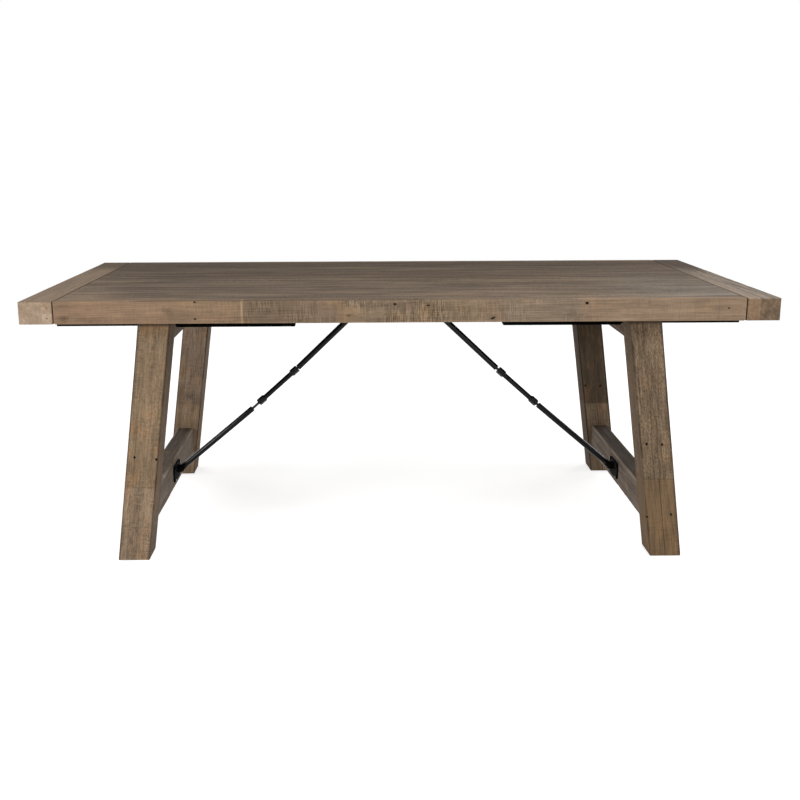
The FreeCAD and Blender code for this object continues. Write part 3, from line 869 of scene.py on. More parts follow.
@dataclass(frozen=True)
class Board:
    """A timber as a closed mesh: sawn faces left slightly uneven, and worn arrises.

    Waves are the number of swells and dents in a metre. A wear value says how much the
    finish is rubbed, from 0 to 1.
    """

    low: Vector
    high: Vector
    along: Along
    seed: int
    arris_mm: float = 1.2
    heel_mm: float = 0.0
    lean: float = 0.0
    step_mm: float = 13.0
    shoulder_mm: float = 3.5
    arc_steps: int = 3
    seed_step: Triple = (7.31, 3.17, 0.5)

    # Worn and dented arrises
    least_arris_mm: float = 0.25
    quarter_step: float = 5.0
    rub_waves: float = 9.0
    rub_share: float = 0.45
    dent_waves: float = 34.0
    dent_shift: float = 40.0
    dent_start: float = 0.35
    dent_growth: float = 3.0
    mean_wear: float = 0.55
    rub_wear: float = 0.8
    end_arris_wear: float = 0.8
    end_face_wear: float = 0.6
    end_share: float = 0.99

    # Faces a little hollow from the saw
    hollow_mm: float = 0.3
    hollow_fade_mm: float = 30.0
    hollow_waves: float = 5.0
    hollow_turns: float = 2.2
    face_shift: float = 9.0
    face_step_mm: float = 24.0
    widest_shoulder_share: float = 0.3

    def noise_at(self, along: float, across: float) -> float:
        """Smooth noise from about -1 to 1, the same each time for a board."""
        x, y, z = self.seed_step
        return noise.noise(Vector((along, across, 0.0)) + Vector((self.seed * x, self.seed * y, z)))

    def inset(self, reach: float, radius: float) -> float:
        """Find how far a rounded end has drawn in.

        Args:
            reach: The distance from the end.
            radius: The radius that rounds the end.

        Returns:
            How much lower each face lies there.
        """
        if radius <= 0 or reach >= radius:
            return 0.0
        return radius - math.sqrt(radius ** 2 - (radius - reach) ** 2)

    def stations(self) -> list[float]:
        """Set out the sections along the timber, closer together at its ends.

        Returns:
            Their places.
        """
        start = self.low[self.along.value]
        end = self.high[self.along.value]
        reaches = {0.0}
        for radius in (self.arris_mm * MM, self.heel_mm * MM):
            for step in range(1, self.arc_steps + 1):
                angle = math.pi / 2 * step / self.arc_steps
                reaches.add(round(radius * (1 - math.cos(angle)), 7))
        reaches.add((max(self.arris_mm, self.heel_mm) + self.shoulder_mm) * MM)
        near = sorted(reaches)
        count = max(2, round((end - start) / (self.step_mm * MM)))
        inner = start + near[-1]
        length = end - near[-1] - inner
        places = [start + reach for reach in near]
        places += [inner + length * i / count for i in range(1, count)]
        return places + [end - reach for reach in reversed(near)]

    def arris(
        self, corner: Pair, quarter: int, at: float, drawn: float,
    ) -> tuple[list[Pair], float]:
        """One rounded arris at a section, worn and dented.

        Args:
            corner: The square corner that it rounds.
            quarter: Which of the four it is, counted from the high one.
            at: The section's place along the timber.
            drawn: How far the section is drawn in by the rounded end.

        Returns:
            Its points in order, and its wear.
        """
        rub = self.noise_at(at * self.rub_waves, quarter * self.quarter_step)
        swing = self.noise_at(at * self.dent_waves, quarter * self.quarter_step + self.dent_shift)
        dent = max(0.0, swing - self.dent_start) * self.dent_growth
        radius = self.arris_mm * MM * (1 + self.rub_share * rub + dent)
        radius = max(self.least_arris_mm * MM, radius - drawn)
        x = corner[0] + (-radius if quarter in (0, 3) else radius)
        y = corner[1] + (-radius if quarter in (0, 1) else radius)
        points = []
        for step in range(self.arc_steps + 1):
            angle = math.pi / 2 * (quarter + step / self.arc_steps)
            points.append((x + radius * math.cos(angle), y + radius * math.sin(angle)))
        return points, min(1.0, max(0.0, self.mean_wear + self.rub_wear * rub + dent))

    def side(
        self, start: Pair, end: Pair, number: int, at: float, reach: float,
    ) -> list[Pair]:
        """The points of one face between two arrises, a little hollow in places.

        Args:
            start: Where the face starts at a section.
            end: Where it ends.
            number: Which of the four faces it is.
            at: The section's place along the timber.
            reach: How far the section is from the timber's nearer end.

        Returns:
            The points in order.
        """
        axis = self.along.across[number % 2]
        count = max(1, round((self.high[axis] - self.low[axis]) / (self.face_step_mm * MM)))
        shoulder = min(
            self.widest_shoulder_share, self.shoulder_mm * MM / math.dist(start, end))
        fade = min(1.0, reach / (self.hollow_fade_mm * MM))
        inward = ((0, -1), (1, 0), (0, 1), (-1, 0))[number]
        points = []
        for i in range(count + 1):
            share = shoulder + (1 - 2 * shoulder) * i / count
            x = start[0] + (end[0] - start[0]) * share
            y = start[1] + (end[1] - start[1]) * share
            depth = self.hollow_mm * MM * fade * math.sin(math.pi * share)
            depth *= 0.5 + 0.5 * self.noise_at(
                at * self.hollow_waves, share * self.hollow_turns + number * self.face_shift)
            points.append((x + inward[0] * depth, y + inward[1] * depth))
        return points

    def ring(self, at: float) -> tuple[list[Pair], list[float]]:
        """One section's points across the timber, and how worn each is.

        Args:
            at: The section's place along the timber.

        Returns:
            Places in the two cross directions, in order, and a wear for each.
        """
        first, second = self.along.across
        reach = min(at - self.low[self.along.value], self.high[self.along.value] - at)
        drawn = self.inset(reach, self.arris_mm * MM)
        heel = self.inset(reach, self.heel_mm * MM) if self.heel_mm else drawn
        a0, a1 = self.low[first] + drawn, self.high[first] - drawn
        b0, b1 = self.low[second] + heel, self.high[second] - drawn
        rounded = max(self.arris_mm, self.heel_mm) * MM * self.end_share
        at_end = 1.0 if reach < rounded else 0.0
        corners = ((a1, b1), (a0, b1), (a0, b0), (a1, b0))
        arcs = [self.arris(corner, quarter, at, drawn) for quarter, corner in enumerate(corners)]
        places = []
        wears = []
        for number, (points, worn) in enumerate(arcs):
            next_points = arcs[(number + 1) % len(arcs)][0]
            face = self.side(points[-1], next_points[0], number, at, reach)
            places += points + face
            wears += [max(worn, at_end * self.end_arris_wear)] * len(points)
            wears += [at_end * self.end_face_wear] * len(face)
        return places, wears

    def build(self, name: str) -> Piece:
        """Make the timber as an object.

        Args:
            name: The piece's name.

        Returns:
            The object, with a wear value at each vertex.
        """
        shape = bmesh.new()
        wear = shape.verts.layers.float.new("wear")
        first, second = self.along.across
        rings = []
        for at in self.stations():
            row = []
            for (x, y), worn in zip(*self.ring(at)):
                corner = Vector((0, 0, 0))
                corner[self.along.value] = at
                corner[first] = x
                corner[second] = y
                corner.x -= self.lean * corner.z
                vert = shape.verts.new(corner)
                vert[wear] = worn
                row.append(vert)
            rings.append(row)
        skin(shape, rings)
        return new_piece(name, shape)


# A plug that cuts a nail hole: its corners, how ragged its rim is, and its depths and
# widths in shares of the hole's own, from outside the face to the bottom.
PLUG_CORNERS = 12
PLUG_RIM_SHARES = (0.82, 1.12)
PLUG_TAPER_SHARES = ((-1.0, 1.0), (0.15, 1.0), (0.6, 0.8), (1.0, 0.45))


def gouge_tool(gouges: Sequence[Gouge], seed: int) -> Piece:
    """Make the tool that cuts nail holes and gouges out of a face.

    Args:
        gouges: The holes to cut, in upright faces.
        seed: What makes their rims differ.

    Returns:
        One object with a tapered plug for each hole.
    """
    draw = random.Random(seed)
    shape = bmesh.new()
    for gouge in gouges:
        into = Vector(gouge.into).normalized()
        spin = Matrix.Rotation(math.radians(gouge.turn_deg), 3, into)
        aside = spin @ into.cross(Vector((0, 0, 1))).normalized()
        up = into.cross(aside)
        place = Vector(gouge.place_mm) * MM
        ragged = [draw.uniform(*PLUG_RIM_SHARES) for _ in range(PLUG_CORNERS)]
        rims = []
        for depth, taper in PLUG_TAPER_SHARES:
            rim = []
            for i, rough in enumerate(ragged):
                angle = math.tau * i / PLUG_CORNERS
                out = aside * math.cos(angle) * gouge.length_mm / 2
                out += up * math.sin(angle) * gouge.width_mm / 2
                away_mm = out * taper * rough + into * depth * gouge.depth_mm
                rim.append(shape.verts.new(place + away_mm * MM))
            rims.append(rim)
        skin(shape, rims)
    return new_piece("gouge_tool", shape)


def box_tool(boxes: Iterable[tuple[Vector, Vector]]) -> Piece:
    """Make the tool that cuts square holes.

    Args:
        boxes: The lowest and the highest corner of each hole.

    Returns:
        One object with a box for each hole.
    """
    shape = bmesh.new()
    for low, high in boxes:
        for vert in bmesh.ops.create_cube(shape, size=1.0)["verts"]:
            for axis in range(3):
                vert.co[axis] = low[axis] if vert.co[axis] < 0 else high[axis]
    return new_piece("box_tool", shape)


# Metal and nylon finishes


@dataclass(frozen=True)
class Coating:
    """A hard finish: painted, powder-coated or plated steel, or moulded nylon.

    Blotches shift its colour and gloss, and a fine grain its surface. Scratches show where
    the noise passes the first of the scratch levels, in full from the second.
    """

    name: str
    colour: str
    shade: str
    roughness: float
    roughness_spread: float = 0.08
    metallic: float = 0.0
    ior: float = 1.5
    specular_level: float = 0.5
    grain_mm: float = 1.5
    grain_detail: float = 2.0
    bump_mm: float = 0.02
    blotch_mm: float = 60.0
    blotch_detail: float = 3.0
    blotch_levels: Pair = (0.3, 0.7)
    scratch_share: float = 0.0
    scratch: str = "#6e6c69"
    scratch_mm: float = 4.0
    scratch_detail: float = 4.0
    scratch_raggedness: float = 0.7
    scratch_levels: Pair = (0.66, 0.74)

    def material(self) -> Material:
        """Build the finish once; every piece of the kind shares it.

        Returns:
            The material.
        """
        made = bpy.data.materials.get(self.name)
        if made:
            return made
        material = new_material(self.name)
        tree = material.node_tree
        place = add_node(tree, "TexCoord").outputs["Object"]
        blotch = add_node(tree, "TexNoise", inputs={
            "Vector": place, "Scale": 1 / (self.blotch_mm * MM), "Detail": self.blotch_detail})
        colour = add_node(tree, "Mix", {"data_type": "RGBA"}, {
            0: blotch, 6: linear(self.colour), 7: linear(self.shade)})
        if self.scratch_share:
            rubbed = add_node(tree, "TexNoise", inputs={
                "Vector": place, "Scale": 1 / (self.scratch_mm * MM),
                "Detail": self.scratch_detail, "Roughness": self.scratch_raggedness})
            bare = add_node(tree, "MapRange", inputs={
                "Value": rubbed, "From Min": self.scratch_levels[0],
                "From Max": self.scratch_levels[1], "To Max": self.scratch_share})
            colour = add_node(tree, "Mix", {"data_type": "RGBA"}, {
                0: bare, 6: colour, 7: linear(self.scratch)})
        rough = add_node(tree, "MapRange", inputs={
            "Value": blotch, "From Min": self.blotch_levels[0],
            "From Max": self.blotch_levels[1],
            "To Min": self.roughness - self.roughness_spread,
            "To Max": self.roughness + self.roughness_spread})
        peel = add_node(tree, "TexNoise", inputs={
            "Vector": place, "Scale": 1 / (self.grain_mm * MM), "Detail": self.grain_detail})
        bump = add_node(tree, "Bump", inputs={
            "Strength": 1.0, "Distance": self.bump_mm * MM, "Height": peel})
        shader = add_node(tree, "BsdfPrincipled", inputs={
            "Base Color": colour, "Roughness": rough, "Metallic": self.metallic,
            "IOR": self.ior, "Specular IOR Level": self.specular_level, "Normal": bump})
        add_node(tree, "OutputMaterial", inputs={"Surface": shader})
        return material


# Black stoving enamel over steel: near black, with a soft clear highlight.
ENAMELLED_STEEL = Coating(
    "black_enamelled_steel", "#080808", "#0d0d0d", 0.13, roughness_spread=0.02,
    specular_level=0.14, scratch_share=0.15)

# Black powder coat on folded steel: duller, with a fine orange peel.
POWDER_COAT = Coating(
    "black_powder_coat", "#050505", "#080808", 0.6, specular_level=0.01, grain_mm=0.9,
    bump_mm=0.05)

# Powder coat of a coarser kind on cast brackets, which stays dull at any angle.
CAST_COAT = Coating(
    "black_cast_bracket", "#0a0a0a", "#111111", 0.8, specular_level=0.03, grain_mm=2.0,
    bump_mm=0.12)

# Cut steel threads, oiled and browned: dark grey metal, brighter on the crests.
BARE_THREAD = Coating(
    "browned_steel_thread", "#6b6461", "#4c4643", 0.45, metallic=1.0, grain_mm=0.6,
    blotch_mm=6.0)

# Zinc-plated fasteners, dulled: grey metal with a broad highlight.
ZINC_PLATE = Coating(
    "dull_zinc_plate", "#8b8a86", "#6f6d69", 0.42, metallic=1.0, grain_mm=0.6, blotch_mm=9.0)

# Moulded nylon 6: dark grey, with the dull skin of the mould.
MOULDED_NYLON = Coating("moulded_nylon", "#222224", "#2a2a2c", 0.5, ior=1.53, grain_mm=0.7)


# Turned and flat steel pieces


@dataclass(frozen=True)
class Turned:
    """A round or six-sided bar about an axis, bored through or not."""

    start: Vector
    run: Vector
    segments: int = 48

    def build(
        self, shape: Mesh, stations: Sequence[float], radius: Callable[[float, float], float],
        bore: float = 0.0,
    ) -> None:
        """Add the bar to a mesh in work.

        Args:
            shape: The mesh that gets the bar.
            stations: Places along the axis, in metres from the start.
            radius: The bar's radius at a place and an angle, in metres.
            bore: The radius of the hole through it, or 0.
        """
        rings = [self.circle(shape, place, radius) for place in stations]
        if bore:
            for place in (stations[-1], stations[0]):
                rings.append(self.circle(shape, place, lambda at, angle: bore))
            rings.append(rings[0])
        skin(shape, rings, capped=not bore)

    def circle(
        self, shape: Mesh, place: float, radius: Callable[[float, float], float],
    ) -> list[Corner]:
        """Add one ring of corners.

        Args:
            shape: The mesh that gets them.
            place: Their place along the axis.
            radius: The bar's radius at a place and an angle.

        Returns:
            The corners in order.
        """
        axis = self.run.normalized()
        aside = axis.cross(Vector((0, 1, 0)))
        if aside.length < 0.1:
            aside = axis.cross(Vector((0, 0, 1)))
        aside.normalize()
        up = axis.cross(aside)
        ring = []
        for i in range(self.segments):
            angle = math.tau * i / self.segments
            out = aside * math.cos(angle) + up * math.sin(angle)
            ring.append(shape.verts.new(self.start + axis * place + out * radius(place, angle)))
        return ring


# The round that a hexagon's corners are turned off to, by its width across the flats.
CHAMFER_SHARE = 0.97

# The depth of a V thread by its pitch.
THREAD_DEPTH_SHARE = 0.54


def hexagon(flats: float, angle: float) -> float:
    """The radius of a hexagon at an angle, by its width across the flats."""
    sixth = math.pi / 3
    return flats / 2 / math.cos((angle % sixth) - sixth / 2)


def chamfered(flats: float, angle: float, from_end: float) -> float:
    """The radius of a hexagon whose corners are turned off at 30 degrees at its end."""
    return min(hexagon(flats, angle), flats / 2 * CHAMFER_SHARE + from_end * math.sqrt(3))


def screw_thread(
    diameter: float, pitch: float, place: float, angle: float, hand: int,
) -> float:
    """The radius of a V thread at a place and an angle.

    Args:
        diameter: The thread's outside diameter.
        pitch: The distance between its crests.
        place: The place along the bar.
        angle: The angle round it.
        hand: 1 for a right-hand thread and -1 for a left-hand one.

    Returns:
        The radius there.
    """
    turn = (place / pitch - hand * angle / math.tau) % 1.0
    return diameter / 2 - THREAD_DEPTH_SHARE * pitch * abs(2 * turn - 1)


def eyed_strap(
    shape: Mesh, pin: Vector, run: Vector, radius: float, thickness: float, ease: float,
    steps: int = 20,
) -> None:
    """Add a flat strap with a half-round nose about a pin, its edges chamfered.

    Args:
        shape: The mesh that gets the strap.
        pin: The middle of the nose.
        run: From the pin to the strap's square end.
        radius: The nose's radius and half the strap's width.
        thickness: Its thickness along Y.
        ease: The chamfer of its edges.
        steps: How many straight steps its nose is drawn in.
    """
    back = run.normalized()
    side = back.cross(Vector((0, 1, 0))).normalized()
    inner = 0.5 - ease / thickness
    layers = []
    for level, shrink in ((-0.5, ease), (-inner, 0.0), (inner, 0.0), (0.5, ease)):
        reach = radius - shrink
        lift = Vector((0, 1, 0)) * thickness * level
        layer = [shape.verts.new(pin + run + side * reach + lift)]
        for step in range(steps + 1):
            angle = math.pi * step / steps
            out = side * math.cos(angle) - back * math.sin(angle)
            layer.append(shape.verts.new(pin + out * reach + lift))
        layer.append(shape.verts.new(pin + run - side * reach + lift))
        layers.append(layer)
    skin(shape, layers)


# Sub-assemblies


class SubAssembly:
    """Pieces that a maker would build together."""

    def add(self, piece: Piece, slot: str, node: str) -> None:
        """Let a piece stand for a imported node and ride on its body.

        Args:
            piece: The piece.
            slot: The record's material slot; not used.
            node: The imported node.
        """
        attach(piece, frame["nodes"][node]["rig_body"])
        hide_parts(node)
        log.info("built %s for %s, %d faces", piece.name, node, len(piece.data.polygons))

    def add_timber(self, piece: Piece, slot: str, node: str, material: Material) -> None:
        """Finish a timber and add it.

        Args:
            piece: The timber.
            slot: The record's material slot.
            node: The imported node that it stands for.
            material: Its finish.
        """
        dress(piece, material)
        smooth(piece, TIMBER_SHARP_DEG)
        self.add(piece, slot, node)


# The ways into a timber from its front face and from its rear face.
FROM_FRONT = (0.0, 1.0, 0.0)
FROM_REAR = (0.0, -1.0, 0.0)


@dataclass
class PlankTop(SubAssembly):
    """The six planks, the two edge beams and the two end caps.

    Places along Y are counted from the face that a hole or knot is in, and those of the
    caps along X from the cap's middle.
    """

    # Planks
    plank_arris_mm: float = 0.8
    plank_log_step: int = 11
    # Each plank's own tone, darker towards the rear partly as painted shade of the light falling
    # off.
    plank_colours: tuple[str, ...] = (
        "#7f6f5f", "#77685a", "#7a6b5b", "#6e5f51", "#6f6153", "#63564a")
    plank_marks: Triple = (0.24, 0.2, 0.38)
    plank_end_seam: Line = Line(Along.X, width_mm=2.2, share=0.75)
    plank_side_seam: Line = Line(Along.Y, width_mm=2.5, share=0.5)
    # Paler ends of the front planks, fading towards the rear: partly dust, partly a painted sheen
    # of light on the top.
    dusty_planks: int = 4
    dusty_ends: tuple[Line, Line] = (
        Line(Along.X, width_mm=190.0, share=0.62, colour="#a18c77", under_grain=True),
        Line(Along.X, width_mm=420.0, share=0.48, colour="#958f86", under_grain=True))
    finish: WeatheredPine = WeatheredPine(
        "weathered_pine_top", grey_share=0.35, warm_share=0.15, wear_share=0.15,
        ring_share=0.25, specular_level=0.05, streak_mm=(330.0, 26.0), fibre_mm=(75.0, 4.5),
        patch_mm=(300.0, 60.0), warm_mm=(240.0, 40.0))

    # Tongues
    tongued_planks: tuple[int, int] = (2, 5)
    tongue_width_mm: float = 60.0
    tongue_gap_mm: float = 0.5
    tongue_ease_mm: float = 0.6
    tongue_log: int = 83
    tongue_strip: Strip = Strip(0.0, "#a98a64", 0.0, 0.4, 0.15)
    tongue_finish: WeatheredPine = WeatheredPine(
        "planed_beech", grey_share=0.1, warm_share=0.1, ring_share=0.06,
        fleck_mm=(5.0, 1.2), roughness=0.5)

    # Edge beams
    beam_arris_mm: float = 1.3
    beam_heel_mm: float = 6.0
    beam_seed: int = 31
    beam_log: int = 57
    beam_hole_seed: int = 5
    beam_strips: tuple[Strip, ...] = (
        Strip(-948.0, "#997d65", 0.1, 0.08, 0.16), Strip(-640.0, "#917860", 0.15, 0.12, 0.18),
        Strip(-435.5, "#7e6b58", 0.5, 0.15, 0.14), Strip(-160.0, "#85725d", 0.75, 0.2, 0.16),
        Strip(112.0, "#88755f", 0.35, 0.2, 0.16), Strip(221.4, "#8a7560", 0.3, 0.15, 0.18),
        Strip(278.8, "#8d7b68", 0.4, 0.12, 0.18), Strip(481.6, "#97806a", 0.12, 0.1, 0.2),
        Strip(808.4, "#937c66", 0.1, 0.08, 0.2))
    rear_strip_mm: float = 330.0
    beam_end_seam: Line = Line(Along.X, width_mm=1.6, share=0.6)
    pale_joint: Line = Line(
        Along.X, -434.8, width_mm=4.0, share=0.65, colour="#b49a7c", under_grain=True)
    saw_lines_mm: Triple = (764.0, 808.0, 872.0)
    saw_line: Line = Line(Along.X, low_mm=706.0, width_mm=1.8, share=0.16)
    arris_dirt_inset_mm: float = 6.0
    arris_dirt: tuple[Line, Line] = (
        Line(Along.Y, low_mm=761.2, ends_mm=(-740.0, 470.0), width_mm=20.0, share=0.22),
        Line(Along.Y, low_mm=761.2, ends_mm=(-720.0, 60.0), width_mm=20.0, share=0.27))
    # Painted shade along the rear beam's top arris.
    rear_dirt: Line = Line(Along.Y, low_mm=758.0, width_mm=12.0, share=0.8)
    front_holes: tuple[Gouge, ...] = (
        Gouge((-561.5, 0.0, 759.0), FROM_FRONT, 5.5, 3.5, 4.0),
        Gouge((-562.0, 0.0, 713.0), FROM_FRONT, 6.5, 3.5, 5.0),
        Gouge((-16.6, 0.0, 751.0), FROM_FRONT, 7.0, 4.6, 9.0),
        Gouge((74.0, 0.0, 747.0), FROM_FRONT, 8.0, 3.2, 4.0, -12.0),
        Gouge((252.0, 0.0, 711.0), FROM_FRONT, 12.0, 3.4, 4.0, -28.0),
        Gouge((508.3, 0.0, 751.0), FROM_FRONT, 8.0, 5.4, 9.0),
        Gouge((899.0, 0.0, 735.0), FROM_FRONT, 5.5, 3.0, 4.0))
    rear_holes: tuple[Gouge, ...] = tuple(
        Gouge(place, FROM_REAR, 6.0, 4.5, 6.0) for place in (
            (-780.0, 0.0, 733.0), (-322.0, 0.0, 749.0), (118.0, 0.0, 716.0),
            (402.0, 0.0, 745.0), (655.0, 0.0, 722.0)))
    front_knots: tuple[Knot, ...] = (
        Knot((-919.0, 0.0, 716.0), (22.0, 40.0, 12.0)),
        Knot((-637.0, -14.0, 734.0), (24.0, 40.0, 19.0)),
        Knot((-140.0, 0.0, 719.0), (30.0, 40.0, 9.0)),
        Knot((83.0, 0.0, 746.0), (15.0, 40.0, 9.0)),
        Knot((251.0, 0.0, 711.0), (13.0, 40.0, 9.0)),
        Knot((-276.0, 0.0, 707.0), (17.0, 40.0, 7.0)))
    edge_finish: WeatheredPine = WeatheredPine(
        "band_sawn_pine", patina="#6f6153", grey_share=0.3, warm_share=0.3, wear_share=0.25,
        patch_mm=(90.0, 45.0))

    # End caps
    cap_arris_mm: float = 1.5
    cap_seed: int = 41
    cap_log: int = 71
    cap_hole_seed: int = 9
    cap_parts: dict[str, tuple[Strip, ...]] = field(default_factory=lambda: {
        "left": (Strip(-1041.5, "#c1aa93", 0.1, 0.12, 0.2),),
        "right": (Strip(949.5, "#846b56", 0.1, 0.15, 0.3),
                  Strip(985.0, "#6b5a4b", 0.1, 0.3, 0.5))})
    cap_tops: dict[str, Line] = field(default_factory=lambda: {
        "left": Line(Along.Z, width_mm=2.5, share=0.92, colour="#96826e", under_grain=True),
        "right": Line(Along.Z, width_mm=2.5, share=0.7, colour="#9c9083", under_grain=True)})
    # Painted shade over the far end of each cap's top, where the light falls off.
    cap_shades: dict[str, Line] = field(default_factory=lambda: {
        "left": Line(Along.Y, width_mm=300.0, share=0.5, under_grain=True),
        "right": Line(
            Along.Y, width_mm=480.0, share=0.75, colour="#3a281b", under_grain=True)})
    cap_seam: Line = Line(Along.X, width_mm=1.8, share=0.7)
    cap_rear_hole: Gouge = Gouge((-22.0, 0.0, 741.0), FROM_REAR, 3.5, 3.0, 3.0)
    cap_front_holes: dict[str, tuple[Gouge, ...]] = field(default_factory=lambda: {
        "left": (Gouge((31.0, 0.0, 716.0), FROM_FRONT, 3.0, 3.0, 3.0),), "right": ()})
    cap_knots: dict[str, Knot] = field(default_factory=lambda: {
        "left": Knot((31.0, 0.0, 745.0), (7.0, 30.0, 9.0)),
        "right": Knot((12.0, 0.0, 722.0), (20.0, 40.0, 17.0))})
    cap_finish: WeatheredPine = WeatheredPine(
        "weathered_pine_cap", patina="#6b5d50", grey_share=0.35, wear_share=0.25,
        ring_share=0.15, knot_share=0.35, specular_level=0.06, streak_mm=(300.0, 9.0))

    def slots(self, low: Vector, high: Vector) -> Piece:
        """Make the tool that cuts a plank's slots for the caps' tongues.

        Args:
            low: The plank's lowest corner.
            high: Its highest corner.

        Returns:
            One object with a box for each slot.
        """
        gap = self.tongue_gap_mm * MM
        middle = (low.y + high.y) / 2
        reach = self.tongue_width_mm / 2 * MM + gap
        boxes = []
        for side in SIDES:
            tongue_low, tongue_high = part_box("cap_tongues_" + side)
            boxes.append((
                Vector((tongue_low.x - 2 * gap, middle - reach, tongue_low.z - gap)),
                Vector((tongue_high.x + 2 * gap, middle + reach, tongue_high.z + gap))))
        return box_tool(boxes)

    def planks(self) -> None:
        """Lay the planks, with slots in two of them for the caps' tongues."""
        for number, colour in enumerate(self.plank_colours, start=1):
            node = "plank_" + str(number)
            low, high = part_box(node)
            board = Board(low, high, Along.X, number, self.plank_arris_mm)
            piece = board.build(node + "_board")
            if number in self.tongued_planks:
                combine(piece, self.slots(low, high), "DIFFERENCE")
            span = (low.x / MM, high.x / MM)
            lines = [self.plank_end_seam.at(end) for end in span]
            lines += [self.plank_side_seam.at(edge / MM) for edge in (low.y, high.y)]
            if number <= self.dusty_planks:
                fade = 1 - number / (self.dusty_planks + 1)
                for end, dust_and_sheen in zip(span, self.dusty_ends):
                    lines.append(replace(dust_and_sheen, place_mm=end, share=dust_and_sheen.share * fade))
            material = self.finish.material(
                node, Cut(Along.X, number * self.plank_log_step),
                [Strip(span[0], colour, *self.plank_marks)], span, lines=lines)
            self.add_timber(piece, "top_planks", node, material)

    def beams(self) -> None:
        """Build the front beam as the photograph shows it, and the rear one like it."""
        for rank, sign in RANKS.items():
            node = "edge_beam_" + rank
            low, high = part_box(node)
            board = Board(
                low, high, Along.X, self.beam_seed + sign, self.beam_arris_mm,
                self.beam_heel_mm)
            piece = board.build(node + "_timber")
            span = (low.x / MM, high.x / MM)
            lines = [self.beam_end_seam.at(end) for end in span]
            if rank == "front":
                face = low.y / MM
                holes, knots, parts = self.front_holes, self.front_knots, self.beam_strips
                lines.append(self.pale_joint)
                lines += [self.saw_line.at(x) for x in self.saw_lines_mm]
                lines += [dirt.at(face + self.arris_dirt_inset_mm) for dirt in self.arris_dirt]
            else:
                face = high.y / MM
                holes, knots = self.rear_holes, ()
                parts = tuple(
                    part.at(span[0] + self.rear_strip_mm * i)
                    for i, part in enumerate(self.beam_strips[2:] + self.beam_strips[:1]))
                lines.append(self.rear_dirt.at(face))
            gouges = [hole.moved(0.0, face) for hole in holes]
            combine(piece, gouge_tool(gouges, self.beam_hole_seed), "DIFFERENCE")
            material = self.edge_finish.material(
                node, Cut(Along.X, self.beam_log + sign), parts, span, gouges, lines,
                [knot.moved(0.0, face) for knot in knots])
            self.add_timber(piece, "edge_timber", node, material)

    def caps(self) -> None:
        """Build the end caps, their grain running across the table."""
        for side, sign in SIDES.items():
            node = "end_cap_" + side
            low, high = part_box(node)
            board = Board(low, high, Along.Y, self.cap_seed + sign, self.cap_arris_mm)
            piece = board.build(node + "_timber")
            x = (low.x + high.x) / 2 / MM
            gouges = [self.cap_rear_hole.moved(x, high.y / MM)]
            gouges += [hole.moved(x, low.y / MM) for hole in self.cap_front_holes[side]]
            combine(piece, gouge_tool(gouges, self.cap_hole_seed), "DIFFERENCE")
            inner = high.x if sign < 0 else low.x
            lines = [
                self.cap_tops[side].at(high.z / MM), self.cap_shades[side].at(high.y / MM),
                self.cap_seam.at(inner / MM)]
            material = self.cap_finish.material(
                node, Cut(Along.Y, self.cap_log + sign), self.cap_parts[side],
                (low.x / MM, high.x / MM), gouges, lines,
                [self.cap_knots[side].moved(x, low.y / MM)], Along.X)
            self.add_timber(piece, "edge_timber", node, material)

    def tongues(self) -> None:
        """Finish the tongues that line the caps up with the planks."""
        for side in SIDES:
            node = "cap_tongues_" + side
            low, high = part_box(node)
            span = (low.x / MM, high.x / MM)
            material = self.tongue_finish.material(
                node, Cut(Along.X, self.tongue_log), [self.tongue_strip.at(span[0])], span)
            keep_solid(node, material, self.tongue_ease_mm)

    def build(self) -> None:
        """Build the whole top."""
        self.planks()
        self.beams()
        self.caps()
        self.tongues()


